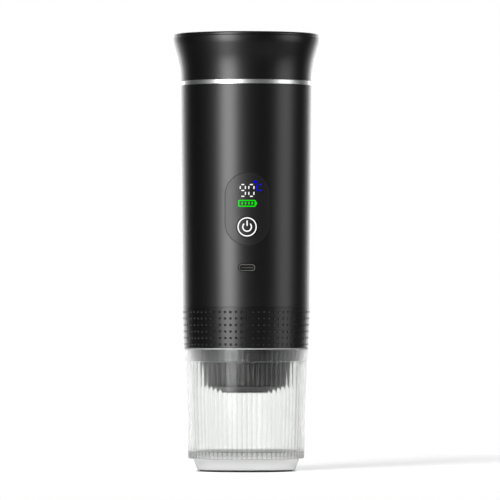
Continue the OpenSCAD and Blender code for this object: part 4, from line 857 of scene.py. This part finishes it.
def on_sleeve(grid, s):
    """Lays a front-view grid of (x, z, height) on the sleeve's cone: y = -sqrt((R(z) + height)^2 - x^2)."""
    x, z, height = np.moveaxis(grid, -1, 0)
    z0, z1, top_r = SLEEVE_LOW.z, SLEEVE_HIGH.z, SLEEVE_HIGH.x
    r = s.sleeve_r + (top_r - s.sleeve_r) * (z - z0) / (z1 - z0) + height
    return np.stack([x, -np.sqrt(r ** 2 - x ** 2), z], -1)


def line(a, b, steps=6):
    """Points of a straight line."""
    return np.linspace(a, b, steps)


def ellipse(centre, radii, start=0.0, end=360.0, steps=48, closed=False):
    """Points of an ellipse, or of an arc of it, between two angles in degrees."""
    t = np.radians(np.linspace(start, end, steps, endpoint=not closed))
    return np.stack([centre[0] + radii[0] * np.cos(t), centre[1] + radii[1] * np.sin(t)], 1)


def round_box(centre, w, h, r):
    """Points round a box with round corners."""
    corners = [(centre[0] + i * w / 2, centre[1] + j * h / 2) for i, j in ((-1, -1), (1, -1), (1, 1), (-1, 1))]
    return rounded(corners, [r] * 4, 6)


def even(path, steps):
    """A closed path with its points set evenly along it."""
    loop = np.concatenate([path, path[:1]])
    run = np.concatenate([[0], np.cumsum(np.linalg.norm(np.diff(loop, axis=0), axis=1))])
    at = np.linspace(0, run[-1], steps, endpoint=False)
    return np.stack([np.interp(at, run, loop[:, 0]), np.interp(at, run, loop[:, 1])], 1)


class ESPRESSO_OT_marks(bpy.types.Operator):
    """Lit digits, temperature unit, battery and power symbol, and a dark line of painted shade round the panel"""
    bl_idname = "espresso.marks"
    bl_label = "Lit marks"

    def execute(self, context):
        s = context.scene.espresso.marks
        panel_z = (PANEL_LOW.z + PANEL_HIGH.z) / 2
        button_z = (BUTTON_LOW.z + BUTTON_HIGH.z) / 2
        white = lit_mark("lit_window_white", s.white)
        # Painted shade: a matt black line standing for the shade in the gap round the panel
        gap = grained("matt_black_painted_seam_shade", to_linear("#020202"), 0.5, (0.85, 0.95))
        marks = (("lit_digits", self.digits(s, panel_z), "main_body", white),
                 ("lit_unit", self.unit(s, panel_z), "main_body", lit_mark("lit_window_blue", s.blue)),
                 ("lit_battery", self.battery(s, panel_z), "main_body", lit_mark("lit_window_green", s.green)),
                 ("lit_power_symbol", self.power(s, button_z), "button", white),
                 ("painted_panel_seam_shade", self.seam(s, panel_z), "main_body", gap))
        for name, strokes, body, finish in marks:
            shapes = [skin(on_sleeve(grid, s), ends) for grid, ends in strokes]
            make_piece(name, joined(shapes), body, "smoked_panel", finish=finish)
        return {"FINISHED"}

    def digits(self, s, panel_z):
        """Seven-stroke digits nine and nought: a stroke joins two of the six corners of a digit, short of both ends."""
        w, h = s.digit_w, s.digit_h
        ends = {"top": ((-1, 2), (1, 2)), "upper_right": ((1, 2), (1, 0)), "lower_right": ((1, 0), (1, -2)),
                "bottom": ((-1, -2), (1, -2)), "lower_left": ((-1, 0), (-1, -2)), "upper_left": ((-1, 2), (-1, 0)),
                "middle": ((-1, 0), (1, 0))}
        strokes = []
        for place, left_out in ((-0.5, "lower_left"), (0.5, "middle")):
            centre = np.array([place * s.digit_gap, panel_z + s.digits_up])
            for name, (a, b) in ends.items():
                if name != left_out:
                    a, b = [centre + np.array(p) * (w / 2, h / 4) for p in (a, b)]
                    reach = (b - a) / np.linalg.norm(b - a) * (s.stroke_l - s.stroke) / 2
                    strokes.append(stroke(line((a + b) / 2 - reach, (a + b) / 2 + reach), s.stroke, s.rise))
        return strokes

    def unit(self, s, panel_z):
        """Degree dot and an angular C to the right of the digits."""
        z = panel_z + s.digits_up
        dot_left, dot_right, dot_z, dot_d = 4.65 * MM, 4.75 * MM, z + 4.8 * MM, 1.5 * MM
        left, near, far, top, bottom = 5.7 * MM, 6.95 * MM, 7.85 * MM, z + 3.35 * MM, z - 0.05 * MM
        width, short_above, short_below = 0.55 * MM, 0.35 * MM, 0.25 * MM
        return [stroke(line((dot_left, dot_z), (dot_right, dot_z)), dot_d, s.rise),
                stroke(line((near, top), (far, top)), width, s.rise),
                stroke(line((left, top - short_above), (left, bottom + short_below)), width, s.rise),
                stroke(line((near, bottom), (far, bottom)), width, s.rise)]

    def battery(self, s, panel_z):
        """Battery outline with its nub, and four short bars inside it."""
        z = panel_z + s.battery_up
        width, height = s.battery_w - s.battery_stroke, s.battery_h - s.battery_stroke
        offset, corner_r, nub_half, nub_w = 0.05 * MM, 0.35 * MM, 0.35 * MM, 1.3 * MM
        bar_low, bar_high, bar_w = z - 0.25 * MM, z + 0.35 * MM, 0.85 * MM
        path = even(round_box((-offset, z), width, height, corner_r), 96)
        end = s.battery_w / 2 - offset
        nub = stroke(line((end, z - nub_half), (end, z + nub_half)), nub_w, s.rise)
        bars = [stroke(line((x, bar_low), (x, bar_high)), bar_w, s.rise)
                for x in (-2.7 * MM, -0.88 * MM, 0.94 * MM, 2.8 * MM)]
        return [stroke(path, s.battery_stroke, s.rise, True), nub, *bars]

    def seam(self, s, panel_z):
        """Thin dark line of painted shade round the panel, which has half circles at its top and bottom."""
        r = PANEL_HIGH.x
        up = (PANEL_HIGH.z - PANEL_LOW.z) / 2 - r
        path = np.concatenate([ellipse((0, panel_z + up), (r, r), 0, 180),
                               ellipse((0, panel_z - up), (r, r), 180, 360)])
        return [stroke(even(path, 240), s.seam, s.rise / 2, True)]

    def power(self, s, button_z):
        """Ring, open arc and upright bar of the power symbol."""
        centre = (0.0, button_z)
        width, bar_low, bar_high = 1.1 * s.ring_stroke, button_z + 0.8 * MM, button_z + 3.25 * MM
        ring = stroke(ellipse(centre, (s.ring_r, s.ring_r), steps=72, closed=True), s.ring_stroke, s.rise, True)
        arc = stroke(ellipse(centre, (s.glyph_r, s.glyph_r), 140, 400, 40), width, s.rise)
        bar = stroke(line((0, bar_low), (0, bar_high)), width, s.rise)
        return [ring, arc, bar]


class ESPRESSO_OT_threads(bpy.types.Operator):
    """Screw threads on the neck under the lid and on the spigot under the body"""
    bl_idname = "espresso.threads"
    bl_label = "Threads"

    def execute(self, context):
        s = context.scene.espresso.threads
        neck_top, spigot_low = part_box("neck_ring")[1].z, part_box("base_plate")[0].z
        # Name, radius, and the heights at which a ridge's middle starts and ends
        spans = (("neck_thread", s.neck_r, SLEEVE_HIGH.z + 4.0 * MM, neck_top - 1.0 * MM),
                 ("spigot_thread", s.spigot_r, spigot_low + 1.2 * MM, SLEEVE_LOW.z - 1.6 * MM))
        for name, radius, low, high in spans:
            shapes = [skin(self.ridge(s, radius, low, high, start), "poles") for start in range(s.starts)]
            make_piece(name, joined(shapes), "main_body", "inner_black")
        return {"FINISHED"}

    def ridge(self, s, radius, low, high, start):
        """Ridge along a helix: at angle t its middle is at height low + lead t / 360, and across it the outline is an
        ellipse that narrows to nothing at both ends."""
        steps, sides, run_out, thinnest = 60, 12, 0.12, 0.05
        turn = np.linspace(0, (high - low) / s.lead * 2 * np.pi, steps)
        z = low + s.lead * turn / (2 * np.pi)
        t = turn + start * 2 * np.pi / s.starts
        share = np.linspace(0, 1, steps)
        taper = np.clip(np.minimum(share, 1 - share) / run_out, thinnest, 1)
        round_it = np.linspace(0, 2 * np.pi, sides, endpoint=False)[:, None]
        r = radius + s.height * taper[None] * np.cos(round_it)
        up = z[None] + s.width / 2 * taper[None] * np.sin(round_it)
        return np.stack([r * np.cos(t)[None], r * np.sin(t)[None], up], -1)


class ESPRESSO_PT_panel(bpy.types.Panel):
    """Lists the pieces and their sizes"""
    bl_idname = "ESPRESSO_PT_panel"
    bl_label = "Portable espresso maker"
    bl_space_type = "VIEW_3D"
    bl_region_type = "UI"
    bl_category = "Espresso"

    def draw(self, context):
        settings = context.scene.espresso
        for operator in STEPS:
            self.layout.operator(operator.bl_idname)
        for name in EspressoSettings.__annotations__:
            group = getattr(settings, name)
            box = self.layout.box()
            box.label(text=name.capitalize())
            for key in group.__annotations__:
                box.prop(group, key)


STEPS = (ESPRESSO_OT_stage, ESPRESSO_OT_finishes, ESPRESSO_OT_cup, ESPRESSO_OT_sleeve, ESPRESSO_OT_turned_parts,
         ESPRESSO_OT_grip, ESPRESSO_OT_lid, ESPRESSO_OT_rings, ESPRESSO_OT_marks, ESPRESSO_OT_threads)
CLASSES = (EspressoCup, EspressoGrip, EspressoLid, EspressoMarks, EspressoThreads, EspressoFinish, EspressoStage,
           EspressoSettings, *STEPS, ESPRESSO_PT_panel)


def register():
    for cls in CLASSES:
        bpy.utils.register_class(cls)
    bpy.types.Scene.espresso = PointerProperty(type=EspressoSettings)


def unregister():
    del bpy.types.Scene.espresso
    for cls in reversed(CLASSES):
        bpy.utils.unregister_class(cls)


def main():
    register()
    for operator in STEPS:
        area, name = operator.bl_idname.split(".")
        getattr(getattr(bpy.ops, area), name)()


if __name__ == "__main__":
    main()
